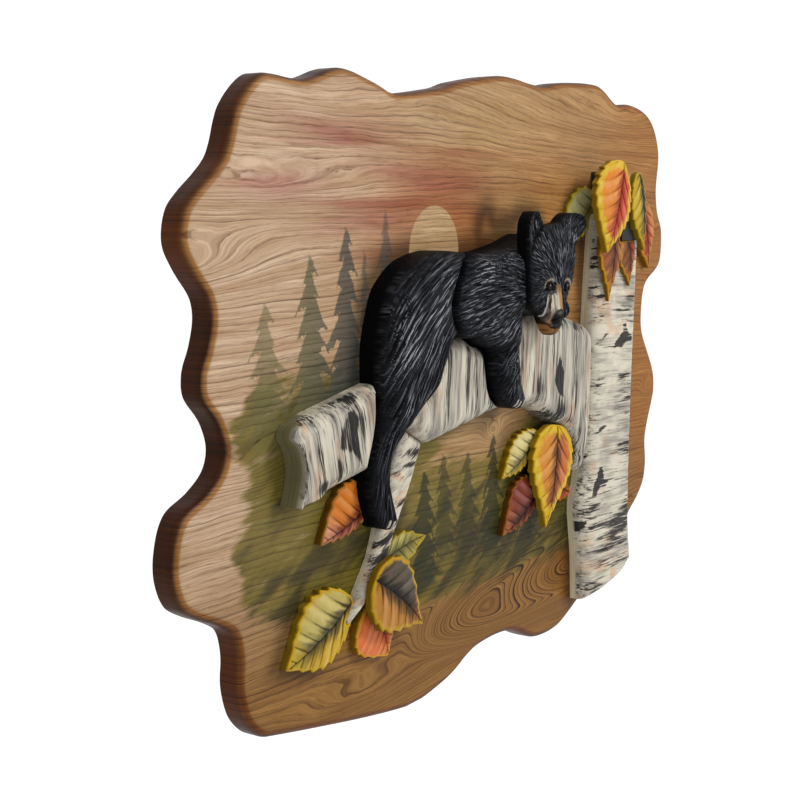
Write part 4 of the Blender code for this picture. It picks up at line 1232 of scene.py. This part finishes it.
def board_tint(x, z, depth, rim, cloud, streak):
    """Tint of the stain and the painted sky, over the wood."""
    glow = np.hypot((x - SUN_X) * 0.75, z - SUN_Z)
    sky = ramp(z + 0.1 * x, 40, 130)
    sunset = sky * ramp(glow, 105, 40) * (0.8 + 0.3 * streak)
    bands = ramp(streak, 0, 0.4) * sky * ramp(-x, -260, 100) * (1 - 0.8 * ramp(z, 190, 235))
    patches = spots(x + 30 * cloud, z, SKY_PATCHES) * (1 + 0.5 * streak)
    bear_shade = 0.85 * ridge(distance_to(BEAR_NODES, x + 7, z), 13)
    shade = np.maximum(bear_shade, 0.6 * ridge(distance_to(OTHER_NODES, x + 6, z - 2), 10))
    left = mix((1.28, 1.48, 2.02), (1, 1.02, 0.96), ramp(x + 40 * cloud - 0.5 * z, -350, -60))
    tint = laid(left, ((0.76, 0.5, 0.18), ramp(x + 50 * cloud - 0.3 * z, -60, 380)),
                ((0.54, 0.39, 0.12), 0.9 - 0.9 * ramp(z + 15 * cloud, -200, -60)))
    # Yellow glow low on the right, reddish streaks round the sun, a purple cast above, shade and amber edge
    tint = glazed(tint, ((1, 0.8, 0.46), 0.7 * spot(x, z, *GLOW)), ((0.86, 0.54, 0.46), sunset),
                  ((0.82, 0.62, 0.62), bands * ramp(cloud + 0.2, -0.1, 0.5)), ((0.8, 0.6, 0.68), patches),
                  ((0.2, 0.2, 0.16), shade), ((0.6, 0.36, 0.11), between(depth, 1.4, 2.4, 3.6, 6.6)))
    # A patchy pale line where the edge rounds over is a painted highlight
    patchy = between(depth, 0.1, 0.7, 0.9, 1.9) * ramp(cloud + 0.3 * streak, -0.5, 0.3)
    dark_edge = mix((0.105, 0.042, 0.008), (0.2, 0.085, 0.02), ramp(cloud, -0.3, 0.5))
    return laid(tint, (dark_edge, rim), ((0.42, 0.27, 0.14), 0.6 * patchy))


def board_paint(x, z, height, depth, wall):
    cloud = layered(x / 120, z / 60, 91)
    streak = layered(x / 160, z / 14, 93)
    rim = np.maximum(ramp(depth, 2.6, 1.4), wall)
    field = ramp(z + 12 * cloud + 0.3 * np.minimum(x + 150, 0), -205, -165)
    field = field * ramp(z + 0.05 * x, 60, -20) * ramp(x, 205, 165)
    field = field * ramp(x + 26 * cloud + 16 * noise(x / 30, z / 18, 99), -350, -310)
    field = field * (1 - 0.95 * unit(1.3 * spot(x, z, *CLEARING)))
    brushed = layered((x + 0.5 * z) / 44, (z - 0.45 * x) / 9, 95)
    cover = field * (0.78 + 0.22 * brushed) * (1 - rim)
    far, far_down = fir_field(FAR_FIRS, x, z)
    near, near_down = fir_field(NEAR_FIRS, x, z)
    front = near > -3
    thin = ramp(np.where(front, near_down, far_down), 1, 0.7)
    cool = mix(tone(118, 114, 74), tone(78, 82, 80), ramp(x, -280, -190))
    to_sun = np.hypot(x - SUN_X, z - SUN_Z)
    return {"tint": board_tint(x, z, depth, rim, cloud, streak) / TINT_RANGE,
            "paint": mix(tone(122, 110, 36), tone(48, 52, 16), ramp(brushed + 1.3 * cloud, -0.2, 0.7)),
            "cover": unit(cover) * (1 - wall), "grain": grain_field(x, z),
            "bold": 1.15 + 2.4 * spot(x, z, *BOLD_GRAIN),
            "sun": (SUN_RADIUS - to_sun) * (1 - wall) - 9 * wall, "fir": np.where(front, near, far),
            "fir_cover": thin * np.where(front, 0.82, 0.62) * (1 - rim) * (1 - wall),
            "fir_paint": mix(cool, tone(48, 52, 26), ramp(-z, 20, 60))}


def board_relief(x, z, depth):
    return ROUND_BOARD * (round_rise(depth, ROUND_BOARD) - 1)


board = Form("board", ROUND_BOARD, STEP_BOARD)
piece = surface("finished_board", board, board_relief, board_paint, walls=4, rings=EDGE_RINGS)
dress("board", piece, board_finish())
